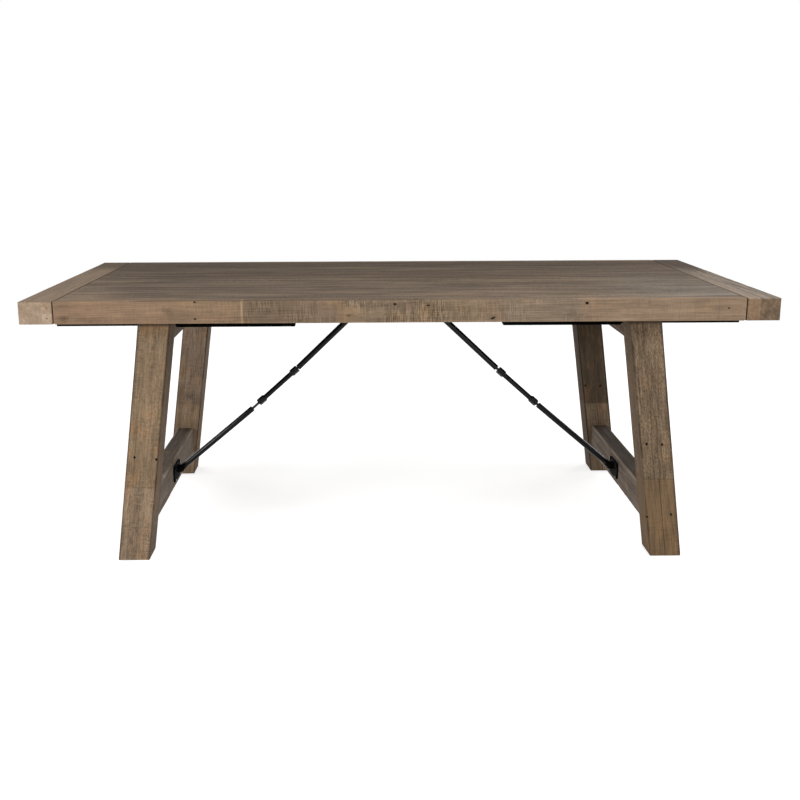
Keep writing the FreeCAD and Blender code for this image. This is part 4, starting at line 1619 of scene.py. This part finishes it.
@dataclass
class Trestles(SubAssembly):
    """The two trestles: leaning legs, stretchers and top rails."""

    # Legs. Places along Y are counted from a leg's front face.
    lean: float = 0.134
    leg_arris_mm: float = 1.8
    leg_seed: int = 51
    leg_seed_step: int = 3
    leg_log_step: int = 3
    leg_parts: dict[str, tuple[Strip, Strip]] = field(default_factory=lambda: {
        "left_front": (
            Strip(0.0, "#9d866e", 0.4, 0.4, 0.2), Strip(221.0, "#947d63", 0.25, 0.35, 0.18)),
        "left_rear": (
            Strip(0.0, "#a38a6f", 0.2, 0.2, 0.2), Strip(268.0, "#9a8571", 0.2, 0.25, 0.2)),
        "right_front": (
            Strip(0.0, "#7a6349", 0.15, 0.1, 0.22), Strip(236.0, "#826e58", 0.1, 0.45, 0.34)),
        "right_rear": (
            Strip(0.0, "#806d58", 0.2, 0.2, 0.25), Strip(258.0, "#7a6854", 0.1, 0.2, 0.3))})
    leg_hole: Gouge = Gouge((0.0, 0.0, 0.0), FROM_FRONT, 5.6, 6.0, 8.0)
    leg_hole_places_mm: dict[str, tuple[Triple, ...]] = field(default_factory=lambda: {
        "left_front": ((-755.7, 0.0, 311.8), (-694.5, 0.0, 305.5)),
        "right_front": (
            (701.5, 0.0, 340.6), (746.2, 0.0, 338.8), (714.5, 0.0, 121.2),
            (784.0, 0.0, 128.5)),
        "right_rear": ((697.2, 0.0, 323.2), (750.2, 0.0, 321.7))})
    leg_knots: dict[str, Knot] = field(default_factory=lambda: {
        "left_front": Knot((-780.0, 0.0, 60.0), (10.0, 40.0, 14.0)),
        "left_rear": Knot((-733.0, 0.0, 292.0), (32.0, 30.0, 22.0))})
    board_joint: Line = Line(Along.Z, width_mm=1.5, share=0.4)
    foot_joint: Line = Line(Along.X)
    # Painted shadow across the top of each leg, under the beam.
    top_dirt: Line = Line(Along.Z, 697.0, width_mm=14.0, share=0.7)
    # Painted shade on the right rear leg: over its upper part, and on its front face above the
    # joint.
    rear_shade: Line = Line(Along.Z, 720.0, width_mm=330.0, share=0.5)
    rear_face_shade: Line = Line(Along.Y, width_mm=90.0, share=0.5)
    # Painted shade over each leg's two side faces and the arrises beside them, darkest on the rear
    # right leg.
    edge_dirt: Line = Line(Along.X, width_mm=6.0)
    edge_dirt_shares: dict[str, Pair] = field(default_factory=lambda: {
        "left_front": (0.2, 0.6), "left_rear": (0.2, 0.5), "right_front": (0.2, 0.3),
        "right_rear": (0.65, 0.7)})
    leg_finish: WeatheredPine = WeatheredPine(
        "weathered_pine_leg", patina="#66594b", worn="#2a211a", grey_share=0.3,
        warm="#a87f58", warm_share=0.4, wear_share=0.6, fibre_ratio=1.4,
        streak_mm=(260.0, 14.0), fleck_mm=(11.0, 2.3), patch_mm=(70.0, 36.0),
        warm_mm=(60.0, 40.0))
    flecked_leg: str = "right_front"
    flecked_finish: WeatheredPine = replace(
        leg_finish, name="flecked_pine_leg", grey_share=0.2, warm_share=0.15,
        fleck_mm=(8.0, 3.2), fleck_middle=0.52)

    # Stretchers and top rails
    stretcher_arris_mm: float = 2.6
    stretcher_seat_mm: float = 1.0
    stretcher_seed: int = 61
    stretcher_log: int = 91
    stretcher_strips: dict[str, Strip] = field(default_factory=lambda: {
        "left": Strip(0.0, "#72665a", 0.1, 0.2, 0.4),
        "right": Strip(0.0, "#70645a", 0.1, 0.2, 0.4)})
    # The stretchers' top faces are drawn darker, the right one more.
    stretcher_dirt: dict[str, Line] = field(default_factory=lambda: {
        "left": Line(Along.Z, width_mm=3.0, share=0.1, under_grain=True),
        "right": Line(Along.Z, width_mm=3.0, share=0.5, under_grain=True)})
    rail_ease_mm: float = 1.2
    rail_log: int = 95
    rail_strip: Strip = Strip(0.0, "#77685a")
    rail_finish: WeatheredPine = WeatheredPine(
        "weathered_pine_rail", patina="#5d544b", worn="#ab9c8b", grey_share=0.4,
        warm_share=0.15, wear_share=0.85, streak_mm=(260.0, 14.0))

    def leg_lines(
        self, side: str, rank: str, edges_mm: Pair, face_mm: float, joint_mm: float,
    ) -> list[Line]:
        """The glue lines and painted shade of a leg.

        Args:
            side: The leg's side of the table.
            rank: Whether it is a front or a rear leg.
            edges_mm: Where its face begins and ends along X, at the floor.
            face_mm: Where its front face is along Y.
            joint_mm: The height of the joint between its boards.

        Returns:
            Its lines.
        """
        lean = self.lean * SIDES[side]
        lines = [self.board_joint.at(joint_mm), self.top_dirt]
        if side == "right":
            middle = sum(edges_mm) / 2
            lines.append(
                replace(self.foot_joint, place_mm=middle, high_mm=joint_mm, lean=lean))
            if rank == "rear":
                lines.append(self.rear_shade)
                lines.append(
                    replace(self.rear_face_shade, place_mm=face_mm, low_mm=joint_mm))
        for edge, share in zip(edges_mm, self.edge_dirt_shares[side + "_" + rank]):
            lines.append(replace(self.edge_dirt, place_mm=edge, lean=lean, share=share))
        return lines

    def leg(self, side: str, rank: str) -> None:
        """Build one leg, leaning in towards the middle of the table.

        Args:
            side: Its side of the table.
            rank: Whether it is a front or a rear leg.
        """
        place = side + "_" + rank
        node = "leg_" + place
        low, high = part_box(node)
        sign = SIDES[side]
        foot = sign * (high.x if sign > 0 else low.x) + self.lean * low.z
        width = high.x - low.x - self.lean * (high.z - low.z)
        inner, outer = sorted((sign * (foot - width), sign * foot))
        seed = self.leg_seed + self.leg_seed_step * sign + RANKS[rank]
        board = Board(
            Vector((inner, low.y, low.z)), Vector((outer, high.y, high.z)), Along.Z, seed,
            self.leg_arris_mm, lean=self.lean * sign)
        piece = board.build(node + "_timber")
        face = low.y / MM
        gouges = [
            replace(self.leg_hole, place_mm=hole).moved(0.0, face)
            for hole in self.leg_hole_places_mm.get(place, ())]
        if gouges:
            combine(piece, gouge_tool(gouges, seed), "DIFFERENCE")
        knots = [self.leg_knots[place].moved(0.0, face)] if place in self.leg_knots else []
        parts = self.leg_parts[place]
        lines = self.leg_lines(side, rank, (inner / MM, outer / MM), face, parts[1].start_mm)
        finish = self.flecked_finish if place == self.flecked_leg else self.leg_finish
        material = finish.material(
            node, Cut(Along.Z, seed * self.leg_log_step, self.lean * sign), parts,
            (0.0, high.z / MM), gouges, lines, knots)
        self.add_timber(piece, "trestle_timber", node, material)

    def stretcher(self, side: str) -> None:
        """Build the stretcher between one side's legs.

        Args:
            side: The side.
        """
        node = "stretcher_" + side
        low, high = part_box(node)
        rear_leg_low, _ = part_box("leg_" + side + "_rear")
        reach = rear_leg_low.y + self.stretcher_seat_mm * MM
        board = Board(
            Vector((low.x, -reach, low.z)), Vector((high.x, reach, high.z)), Along.Y,
            self.stretcher_seed + SIDES[side], self.stretcher_arris_mm)
        piece = board.build(node + "_timber")
        span = (-reach / MM, reach / MM)
        material = self.rail_finish.material(
            node, Cut(Along.Y, self.stretcher_log + SIDES[side]),
            [self.stretcher_strips[side].at(span[0])], span,
            lines=[self.stretcher_dirt[side].at(high.z / MM)])
        self.add_timber(piece, "trestle_timber", node, material)

    def rail(self, side: str) -> None:
        """Finish one side's notched top rail.

        Args:
            side: The side.
        """
        node = "top_rail_" + side
        low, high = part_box(node)
        span = (low.y / MM, high.y / MM)
        material = self.rail_finish.material(
            node, Cut(Along.Y, self.rail_log + SIDES[side]), [self.rail_strip.at(span[0])],
            span)
        keep_solid(node, material, self.rail_ease_mm)

    def build(self) -> None:
        """Build both trestles."""
        for side in SIDES:
            for rank in RANKS:
                self.leg(side, rank)
        for side in SIDES:
            self.stretcher(side)
            self.rail(side)


@dataclass
class HiddenFrame(SubAssembly):
    """The planed softwood frame under the planks."""

    ease_mm: float = 1.0
    log: int = 120
    strip: Strip = Strip(0.0, "#84725f", 0.2, 0.2, 0.3)
    finish: WeatheredPine = WeatheredPine("planed_pine", patina="#7b6d5f", ring_share=0.3)
    nodes: dict[str, Along] = field(default_factory=lambda: {
        "bearer_front": Along.X, "bearer_rear": Along.X,
        "batten_left": Along.Y, "batten_centre": Along.Y, "batten_right": Along.Y,
        "top_cleat_left": Along.Y, "top_cleat_right": Along.Y,
        "end_rail_left": Along.Y, "end_rail_right": Along.Y})

    def build(self) -> None:
        """Finish each piece of the frame with its own cut of timber."""
        for number, (node, along) in enumerate(self.nodes.items()):
            low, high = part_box(node)
            span = (low[along.value] / MM, high[along.value] / MM)
            material = self.finish.material(
                node, Cut(along, self.log + number), [self.strip.at(span[0])], span)
            keep_solid(node, material, self.ease_mm)


@dataclass
class Slides(SubAssembly):
    """The steel runners, their sleeves, brackets, stops and nylon blocks."""

    steel_ease_mm: float = 0.4
    nylon_ease_mm: float = 0.8

    def build(self) -> None:
        """Finish each piece of the slides."""
        steel = ["glide_brackets"]
        for side in SIDES:
            steel.append("runner_stops_" + side)
            for rank in RANKS:
                steel += ["runner_" + side + "_" + rank, "guide_sleeve_" + side + "_" + rank]
        for node in steel:
            keep_solid(node, POWDER_COAT.material(), self.steel_ease_mm)
        for node in ("glide_blocks", "foot_glides"):
            keep_solid(node, MOULDED_NYLON.material(), self.nylon_ease_mm)


@dataclass
class TieRods(SubAssembly):
    """The tie rods of both sides: straps, tubes, threaded studs and turnbuckles.

    The tube's lips are pairs of a place and a drop of the radius, in lips: at the
    turnbuckle counted from the tube's end, and at the strap back from its other end.
    """

    # Rods
    pin_mm: float = 8.2
    eye_radius_mm: float = 9.0
    eye_thickness_mm: float = 9.0
    eye_ease_mm: float = 0.9
    neck_mm: float = 15.0
    strap_share: float = 1.4
    tube_mm: float = 18.5
    lip_mm: float = 1.6
    stud_lip_shares: tuple[Pair, ...] = ((0.0, 1.0), (0.3, 0.3), (1.0, 0.0))
    strap_lip_shares: tuple[Pair, ...] = ((2.0, 0.0), (0.6, 0.5), (0.0, 1.5))

    # Studs
    stud_mm: float = 9.0
    stud_segments: int = 30
    stud_grip_mm: float = 46.0
    stud_seat_mm: float = 6.0
    pitch_mm: float = 2.0
    steps_per_turn: int = 6
    bare_slack_mm: float = 0.01
    thread_below_mm: dict[str, float] = field(default_factory=lambda: {
        "left": 28.0, "right": 7.0})
    thread_above_mm: dict[str, float] = field(default_factory=lambda: {
        "left": 3.0, "right": 7.0})

    # Turnbuckles
    buckle_mm: float = 171.0
    buckle_segments: int = 72
    body_mm: float = 16.2
    neck_down_mm: float = 5.0
    neck_shares: Triple = (0.2, 0.5, 1.0)
    flats_mm: float = 20.0
    nut_mm: float = 26.0
    chamfer_steps_mm: tuple[float, ...] = (0.0, 0.4, 0.9, 1.5, 2.4)
    bore_gap_mm: float = 0.1
    tommy_hole_mm: float = 5.0
    tommy_place_share: float = 0.09

    bracket_ease_mm: float = 0.7

    def axis(self, side: str) -> tuple[Vector, Vector]:
        """Find how a side's turnbuckle lies.

        Args:
            side: The side.

        Returns:
            Its middle, and its axis downwards.
        """
        node = "turnbuckle_" + side
        joint = next(joint for joint in frame["joints"] if joint["child"] == node)
        along = Vector(joint["axis"]).normalized()
        return Vector(joint["pos_m"]), along if along.z < 0 else -along

    def pins(self, side: str) -> list[Vector]:
        """Find the pins of a side's rods.

        Args:
            side: The side.

        Returns:
            The lower pin's middle and the upper pin's.
        """
        middles = []
        for group in islands("rod_pins"):
            low, high = extent(group)
            middle = (low + high) / 2
            if middle.x * SIDES[side] > 0:
                middles.append(Vector((middle.x, 0, middle.z)))
        return sorted(middles, key=lambda middle: middle.z)

    def tube(self, start: Vector, run: Vector, length: float) -> Mesh:
        """A tube with rounded lips, from the turnbuckle's side to the strap's.

        Args:
            start: Its end beside the turnbuckle.
            run: From there towards its other end, of length 1.
            length: Its length.

        Returns:
            The mesh in work.
        """
        lip = self.lip_mm * MM
        radius = self.tube_mm / 2 * MM
        radii = {lip * place: radius - lip * drop for place, drop in self.stud_lip_shares}
        for place, drop in self.strap_lip_shares:
            radii[length - lip * place] = radius - lip * drop
        shape = bmesh.new()
        Turned(start, run).build(shape, list(radii), lambda at, angle: radii[at])
        return shape

    def stud(self, start: Vector, run: Vector, length: float, hand: int) -> Mesh:
        """A threaded stud.

        Args:
            start: Its end inside the turnbuckle.
            run: From there towards the tube, of length 1.
            length: Its length.
            hand: 1 for a right-hand thread and -1 for a left-hand one.

        Returns:
            The mesh in work.
        """
        pitch = self.pitch_mm * MM
        steps = round(length / pitch * self.steps_per_turn)
        shape = bmesh.new()
        Turned(start, run, self.stud_segments).build(
            shape, [length * step / steps for step in range(steps + 1)],
            lambda at, angle: screw_thread(self.stud_mm * MM, pitch, at, angle, hand))
        return shape

    def rod(
        self, node: str, pin: Vector, middle: Vector, towards: Vector, thread_mm: float,
        hand: int,
    ) -> None:
        """Build one rod: strap, tube and stud.

        Args:
            node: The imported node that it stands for.
            pin: The middle of its pin.
            middle: The middle of the turnbuckle.
            towards: From the turnbuckle to the rod, of length 1.
            thread_mm: How much thread shows beside the turnbuckle.
            hand: 1 for a right-hand thread and -1 for a left-hand one.
        """
        half = self.buckle_mm / 2 * MM
        tube_end = middle + towards * (half + thread_mm * MM)
        back = (pin - tube_end).normalized()
        tube_start = pin - back * self.neck_mm * MM
        length = (tube_start - tube_end).length
        tube = new_piece(node + "_steel", self.tube(tube_end, back, length))

        shape = bmesh.new()
        run = -back * (self.neck_mm * self.strap_share) * MM
        eyed_strap(
            shape, pin, run, self.eye_radius_mm * MM, self.eye_thickness_mm * MM,
            self.eye_ease_mm * MM)
        combine(tube, new_piece("strap", shape), "UNION")

        start = middle + towards * (half - self.stud_grip_mm * MM)
        length = (thread_mm + self.stud_grip_mm + self.stud_seat_mm) * MM
        combine(tube, new_piece("stud", self.stud(start, towards, length, hand)), "UNION")

        shape = bmesh.new()
        reach = Vector((0, self.eye_thickness_mm * MM, 0))
        Turned(pin - reach, reach).build(
            shape, [0.0, reach.length * 2], lambda at, angle: self.pin_mm / 2 * MM)
        combine(tube, new_piece("hole", shape), "DIFFERENCE")

        dress(tube, ENAMELLED_STEEL.material(), BARE_THREAD.material())
        for face in tube.data.polygons:
            beyond = (face.center - tube_end).dot(towards)
            face.material_index = int(beyond < -self.bare_slack_mm * MM)
        smooth(tube, STEEL_SHARP_DEG)
        self.add(tube, "tie_steel", node)

    def turnbuckle(self, side: str, middle: Vector, down: Vector) -> None:
        """Build a turnbuckle: a round body between two chamfered hexagons.

        Args:
            side: Its side of the table.
            middle: Its middle.
            down: Its axis downwards, of length 1.
        """
        node = "turnbuckle_" + side
        length = self.buckle_mm * MM
        nut = self.nut_mm * MM
        flats = self.flats_mm * MM
        shoulder = flats / 2 * CHAMFER_SHARE

        def outline(at: float, angle: float) -> float:
            """The turnbuckle's outline.

            Args:
                at: The place along it.
                angle: The angle round it.

            Returns:
                Its radius there.
            """
            from_end = min(at, length - at)
            if from_end <= nut:
                return chamfered(flats, angle, min(from_end, nut - from_end))
            blend = min(1.0, (from_end - nut) / (self.neck_down_mm * MM))
            return shoulder + (self.body_mm / 2 * MM - shoulder) * math.sin(blend * math.pi / 2)

        near = [*self.chamfer_steps_mm, self.nut_mm / 2]
        near += [self.nut_mm - step for step in reversed(self.chamfer_steps_mm)]
        near += [self.nut_mm + self.neck_down_mm * share for share in self.neck_shares]
        places = [value * MM for value in near] + [length / 2]
        places += [length - value * MM for value in reversed(near)]
        shape = bmesh.new()
        Turned(middle - down * length / 2, down, self.buckle_segments).build(
            shape, places, outline, (self.stud_mm / 2 + self.bore_gap_mm) * MM)
        piece = new_piece(node + "_steel", shape)

        shape = bmesh.new()
        at = middle + down * (self.nut_mm - self.buckle_mm / 2) * MM
        at += down * self.buckle_mm * self.tommy_place_share * MM
        reach = Vector((0, -self.body_mm * MM, 0))
        Turned(at, reach).build(
            shape, [0.0, reach.length], lambda place, angle: self.tommy_hole_mm / 2 * MM)
        combine(piece, new_piece("tommy_hole", shape), "DIFFERENCE")
        dress(piece, ENAMELLED_STEEL.material())
        smooth(piece, STEEL_SHARP_DEG)
        self.add(piece, "tie_steel", node)

    def build(self) -> None:
        """Build the rods and turnbuckles, and finish their brackets."""
        for side in SIDES:
            middle, down = self.axis(side)
            lower, upper = self.pins(side)
            self.rod("lower_rod_" + side, lower, middle, down, self.thread_below_mm[side], 1)
            self.rod("upper_rod_" + side, upper, middle, -down, self.thread_above_mm[side], -1)
            self.turnbuckle(side, middle, down)
        for node in ("lower_bracket_left", "lower_bracket_right", "centre_bracket"):
            keep_solid(node, CAST_COAT.material(), self.bracket_ease_mm)


@dataclass(frozen=True)
class Measures:
    """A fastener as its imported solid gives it, in metres."""

    start: Vector
    run: Vector
    length: float
    head: float
    flats: float
    shank: float


@dataclass
class Fasteners(SubAssembly):
    """The screws, bolts and pins, each with a chamfered head on a round shank."""

    segments: int = 36
    washer_mm: float = 0.6
    washer_share: float = 0.96
    shank_share: float = 0.98
    tip_mm: float = 1.5
    tip_share: float = 0.3
    tip_taper_share: float = 0.45
    chamfer_steps_mm: Triple = (0.0, 0.3, 0.7)
    head_share: float = 0.6
    step_mm: float = 0.001
    flat_slack_mm: float = 0.05
    nodes: dict[str, tuple[str, Coating]] = field(default_factory=lambda: {
        "slide_screws": ("zinc_screws", ZINC_PLATE),
        "bracket_screws": ("zinc_screws", ENAMELLED_STEEL),
        "runner_screws_left": ("zinc_screws", ZINC_PLATE),
        "runner_screws_right": ("zinc_screws", ZINC_PLATE),
        "trestle_bolts": ("zinc_screws", ZINC_PLATE),
        "glide_bolts": ("zinc_screws", ZINC_PLATE),
        "rod_pins": ("tie_steel", ENAMELLED_STEEL)})

    def width(self, group: list[Vector], axis: int, level: float) -> float:
        """Measure a six-sided solid across its flats.

        Args:
            group: Its corner points.
            axis: The number of its long direction.
            level: Where it is measured along that.

        Returns:
            The width.
        """
        low, high = extent(group)
        middle = (low + high) / 2
        middle[axis] = level
        flat = [point for point in group if abs(point[axis] - level) < self.flat_slack_mm * MM]
        return 2 * max(math.dist(point, middle) for point in flat) * math.cos(math.pi / 6)

    def measure(self, group: list[Vector]) -> Measures:
        """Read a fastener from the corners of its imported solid.

        Args:
            group: The solid's corner points.

        Returns:
            Its head's top, its direction from there to its tip, and its sizes.
        """
        low, high = extent(group)
        size = high - low
        axis = max(range(3), key=lambda number: size[number])
        levels = sorted({round(point[axis], 5) for point in group})
        if self.width(group, axis, levels[0]) <= self.width(group, axis, levels[-1]):
            levels.reverse()
        top, under, tip = levels[0], levels[1], levels[-1]
        start = (low + high) / 2
        start[axis] = top
        run = Vector((0, 0, 0))
        run[axis] = math.copysign(1, tip - top)
        return Measures(
            start, run, abs(tip - top), abs(under - top), self.width(group, axis, top),
            self.width(group, axis, tip))

    def fastener(self, shape: Mesh, group: list[Vector]) -> None:
        """Add one fastener to a mesh in work.

        Args:
            shape: The mesh that gets it.
            group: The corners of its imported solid.
        """
        solid = self.measure(group)
        washer = self.washer_mm * MM
        tip = min(self.tip_mm * MM, solid.shank * self.tip_share)

        def outline(at: float, angle: float) -> float:
            """The fastener's outline.

            Args:
                at: The place along it.
                angle: The angle round it.

            Returns:
                Its radius there.
            """
            if at <= solid.head - washer:
                return chamfered(solid.flats, angle, at)
            if at <= solid.head:
                return solid.flats / 2 * self.washer_share
            if at > solid.length - tip:
                taper = self.tip_taper_share * (at - solid.length + tip) / tip
                return solid.shank / 2 * (1 - taper)
            return solid.shank / 2 * self.shank_share

        places = [step * MM for step in self.chamfer_steps_mm] + [solid.head * self.head_share]
        for edge in (solid.head - washer, solid.head):
            places += [edge, edge + self.step_mm * MM]
        places += [solid.length - tip, solid.length]
        Turned(solid.start, solid.run, self.segments).build(shape, sorted(places), outline)

    def build(self) -> None:
        """Build every group of fasteners as one piece."""
        for node, (slot, coating) in self.nodes.items():
            shape = bmesh.new()
            for group in islands(node):
                self.fastener(shape, group)
            piece = new_piece(node + "_turned", shape)
            dress(piece, coating.material())
            smooth(piece, STEEL_SHARP_DEG)
            self.add(piece, slot, node)


# Stage


@dataclass(frozen=True)
class Lamp:
    """A soft box: where it hangs, what it points at, its width and height, and its roll."""

    name: str
    place_mm: Triple
    aim_mm: Triple
    size_mm: Pair
    watts: float
    roll_deg: float = 0.0

    def hang(self) -> None:
        """Hang the lamp and aim it."""
        light = bpy.data.lights.new(self.name, "AREA")
        light.shape = "RECTANGLE"
        light.size, light.size_y = (side * MM for side in self.size_mm)
        light.energy = self.watts
        lamp = bpy.data.objects.new(self.name, light)
        lamp.location = Vector(self.place_mm) * MM
        aim = Vector(self.aim_mm) * MM - Vector(self.place_mm) * MM
        turn = aim.to_track_quat("-Z", "Y").to_matrix()
        roll = Matrix.Rotation(math.radians(self.roll_deg), 3, "Z")
        lamp.rotation_euler = (turn @ roll).to_euler()
        bpy.context.scene.collection.objects.link(lamp)
        log.info("lamp %s, %.0f W", self.name, self.watts)


@dataclass
class Studio:
    """The pale floor, the soft lamps and the camera at the photograph's place."""

    camera_mm: Triple = (-97.0, -3448.0, 1174.0)
    yaw_deg: float = 0.73
    pitch_deg: float = -13.23
    roll_deg: float = -0.21
    lens_mm: float = 48.86
    sensor_mm: float = 36.0
    shift_share: float = 0.0255
    clip_end_m: float = 200.0
    floor_reach_mm: float = 5000.0
    floor_segments: int = 96
    floor_fade_mm: float = 2600.0
    floor_fade_end_share: float = 0.98
    floor_level_mm: float = -0.3
    floor_colour: str = "#e8e8e8"
    floor_glow: float = 0.7
    white: str = "#ffffff"
    sky_strength: float = 0.25
    lamps: tuple[Lamp, ...] = (
        Lamp("left", (-3070, -3600, 1300), (0, 0, 450), (500, 1300), 46.0, 49.0),
        Lamp("right", (1500, -4000, 1000), (0, 0, 450), (2000, 1400), 26.0),
        Lamp("over", (700, -1500, 2500), (200, -200, 700), (3200, 1000), 42.0),
        Lamp("rear_left", (-3400, 3000, 1200), (0, 0, 450), (1600, 1400), 42.0),
        Lamp("rear_right", (3400, 3000, 1200), (0, 0, 450), (1600, 1400), 42.0),
        Lamp("end_left", (-3400, 300, 800), (-1000, 0, 500), (1200, 1000), 19.0),
        Lamp("end_right", (3400, 300, 800), (1000, 0, 500), (1200, 1000), 19.0))

    def camera(self) -> None:
        """Set the camera where the photograph was taken from."""
        yaw, pitch, roll = (math.radians(a) for a in (self.yaw_deg, self.pitch_deg, self.roll_deg))
        ahead = Vector((
            math.sin(yaw) * math.cos(pitch), math.cos(yaw) * math.cos(pitch), math.sin(pitch)))
        level = Vector((math.cos(yaw), -math.sin(yaw), 0))
        plumb = level.cross(ahead)
        right = math.cos(roll) * level + math.sin(roll) * plumb
        up = -math.sin(roll) * level + math.cos(roll) * plumb
        turn = Matrix((right, up, -ahead)).transposed().to_4x4()
        lens = bpy.data.cameras.new("camera")
        lens.lens = self.lens_mm
        lens.sensor_width = self.sensor_mm
        lens.shift_x = self.shift_share
        lens.clip_end = self.clip_end_m
        lens.dof.use_dof = False
        camera = bpy.data.objects.new("camera", lens)
        camera.matrix_world = Matrix.Translation(Vector(self.camera_mm) * MM) @ turn
        bpy.context.scene.collection.objects.link(camera)
        bpy.context.scene.camera = camera
        log.info("camera set at %s mm", self.camera_mm)

    def seen(self, tree: Tree) -> Node:
        """Tell what the camera sees, straight or in a shiny face.

        Args:
            tree: The tree that gets the nodes.

        Returns:
            1 for that, and 0 otherwise.
        """
        path = add_node(tree, "LightPath")
        return add_node(tree, "Math", {"operation": "MAXIMUM"}, {
            0: path.outputs["Is Camera Ray"], 1: path.outputs["Is Glossy Ray"]})

    def floor(self) -> None:
        """Lay a pale floor that looks white but keeps the table's shadow."""
        shape = bmesh.new()
        bmesh.ops.create_circle(
            shape, cap_ends=True, segments=self.floor_segments,
            radius=self.floor_reach_mm * MM)
        floor = new_piece("floor", shape)
        floor.location.z = self.floor_level_mm * MM
        material = new_material("pale_floor")
        tree = material.node_tree
        matt = add_node(tree, "BsdfDiffuse", inputs={"Color": linear(self.floor_colour)})
        strength = add_node(tree, "Math", {"operation": "MULTIPLY"}, {
            0: self.seen(tree), 1: self.floor_glow})
        glow = add_node(tree, "Emission", inputs={
            "Color": linear(self.white), "Strength": strength})
        lit = add_node(tree, "AddShader", inputs={0: matt, 1: glow})

        # The floor runs out softly into the white round it, well away from the shadow, and
        # is clear from below, so that the underside can be looked at.
        place = add_node(tree, "TexCoord").outputs["Object"]
        away = add_node(tree, "VectorMath", {"operation": "LENGTH"}, {0: place})
        fade = add_node(tree, "MapRange", {"interpolation_type": "SMOOTHSTEP"}, {
            "Value": away, "From Min": self.floor_fade_mm * MM,
            "From Max": self.floor_reach_mm * MM * self.floor_fade_end_share})
        faces = add_node(tree, "NewGeometry")
        open_share = add_node(tree, "Math", {"operation": "MAXIMUM"}, {
            0: fade, 1: faces.outputs["Backfacing"]})
        clear = add_node(tree, "BsdfTransparent")
        both = add_node(tree, "MixShader", inputs={0: open_share, 1: lit, 2: clear})
        add_node(tree, "OutputMaterial", inputs={"Surface": both})
        dress(floor, material)

    def sky(self) -> None:
        """Light the scene evenly, and show a white background."""
        world = bpy.data.worlds.new("studio")
        bpy.context.scene.world = world
        world.use_nodes = True
        tree = world.node_tree
        tree.nodes.clear()
        path = add_node(tree, "LightPath")
        shown = add_node(tree, "Math", {"operation": "MAXIMUM"}, {
            0: self.seen(tree), 1: path.outputs["Is Transmission Ray"]})
        strength = add_node(tree, "MapRange", inputs={
            "Value": shown, "To Min": self.sky_strength, "To Max": 1.0})
        back = add_node(tree, "Background", inputs={
            "Color": linear(self.white), "Strength": strength})
        add_node(tree, "OutputWorld", inputs={"Surface": back})

    def build(self) -> None:
        """Set up the whole stage."""
        bpy.context.scene.view_settings.view_transform = "Standard"
        self.camera()
        self.floor()
        self.sky()
        for lamp in self.lamps:
            lamp.hang()


def main() -> None:
    """Build the table's looks and the stage, in order."""
    logging.basicConfig(level=logging.INFO, format="%(name)s: %(message)s")
    for group in (PlankTop, Trestles, HiddenFrame, Slides, TieRods, Fasteners, Studio):
        group().build()


if __name__ == "__main__":
    main()
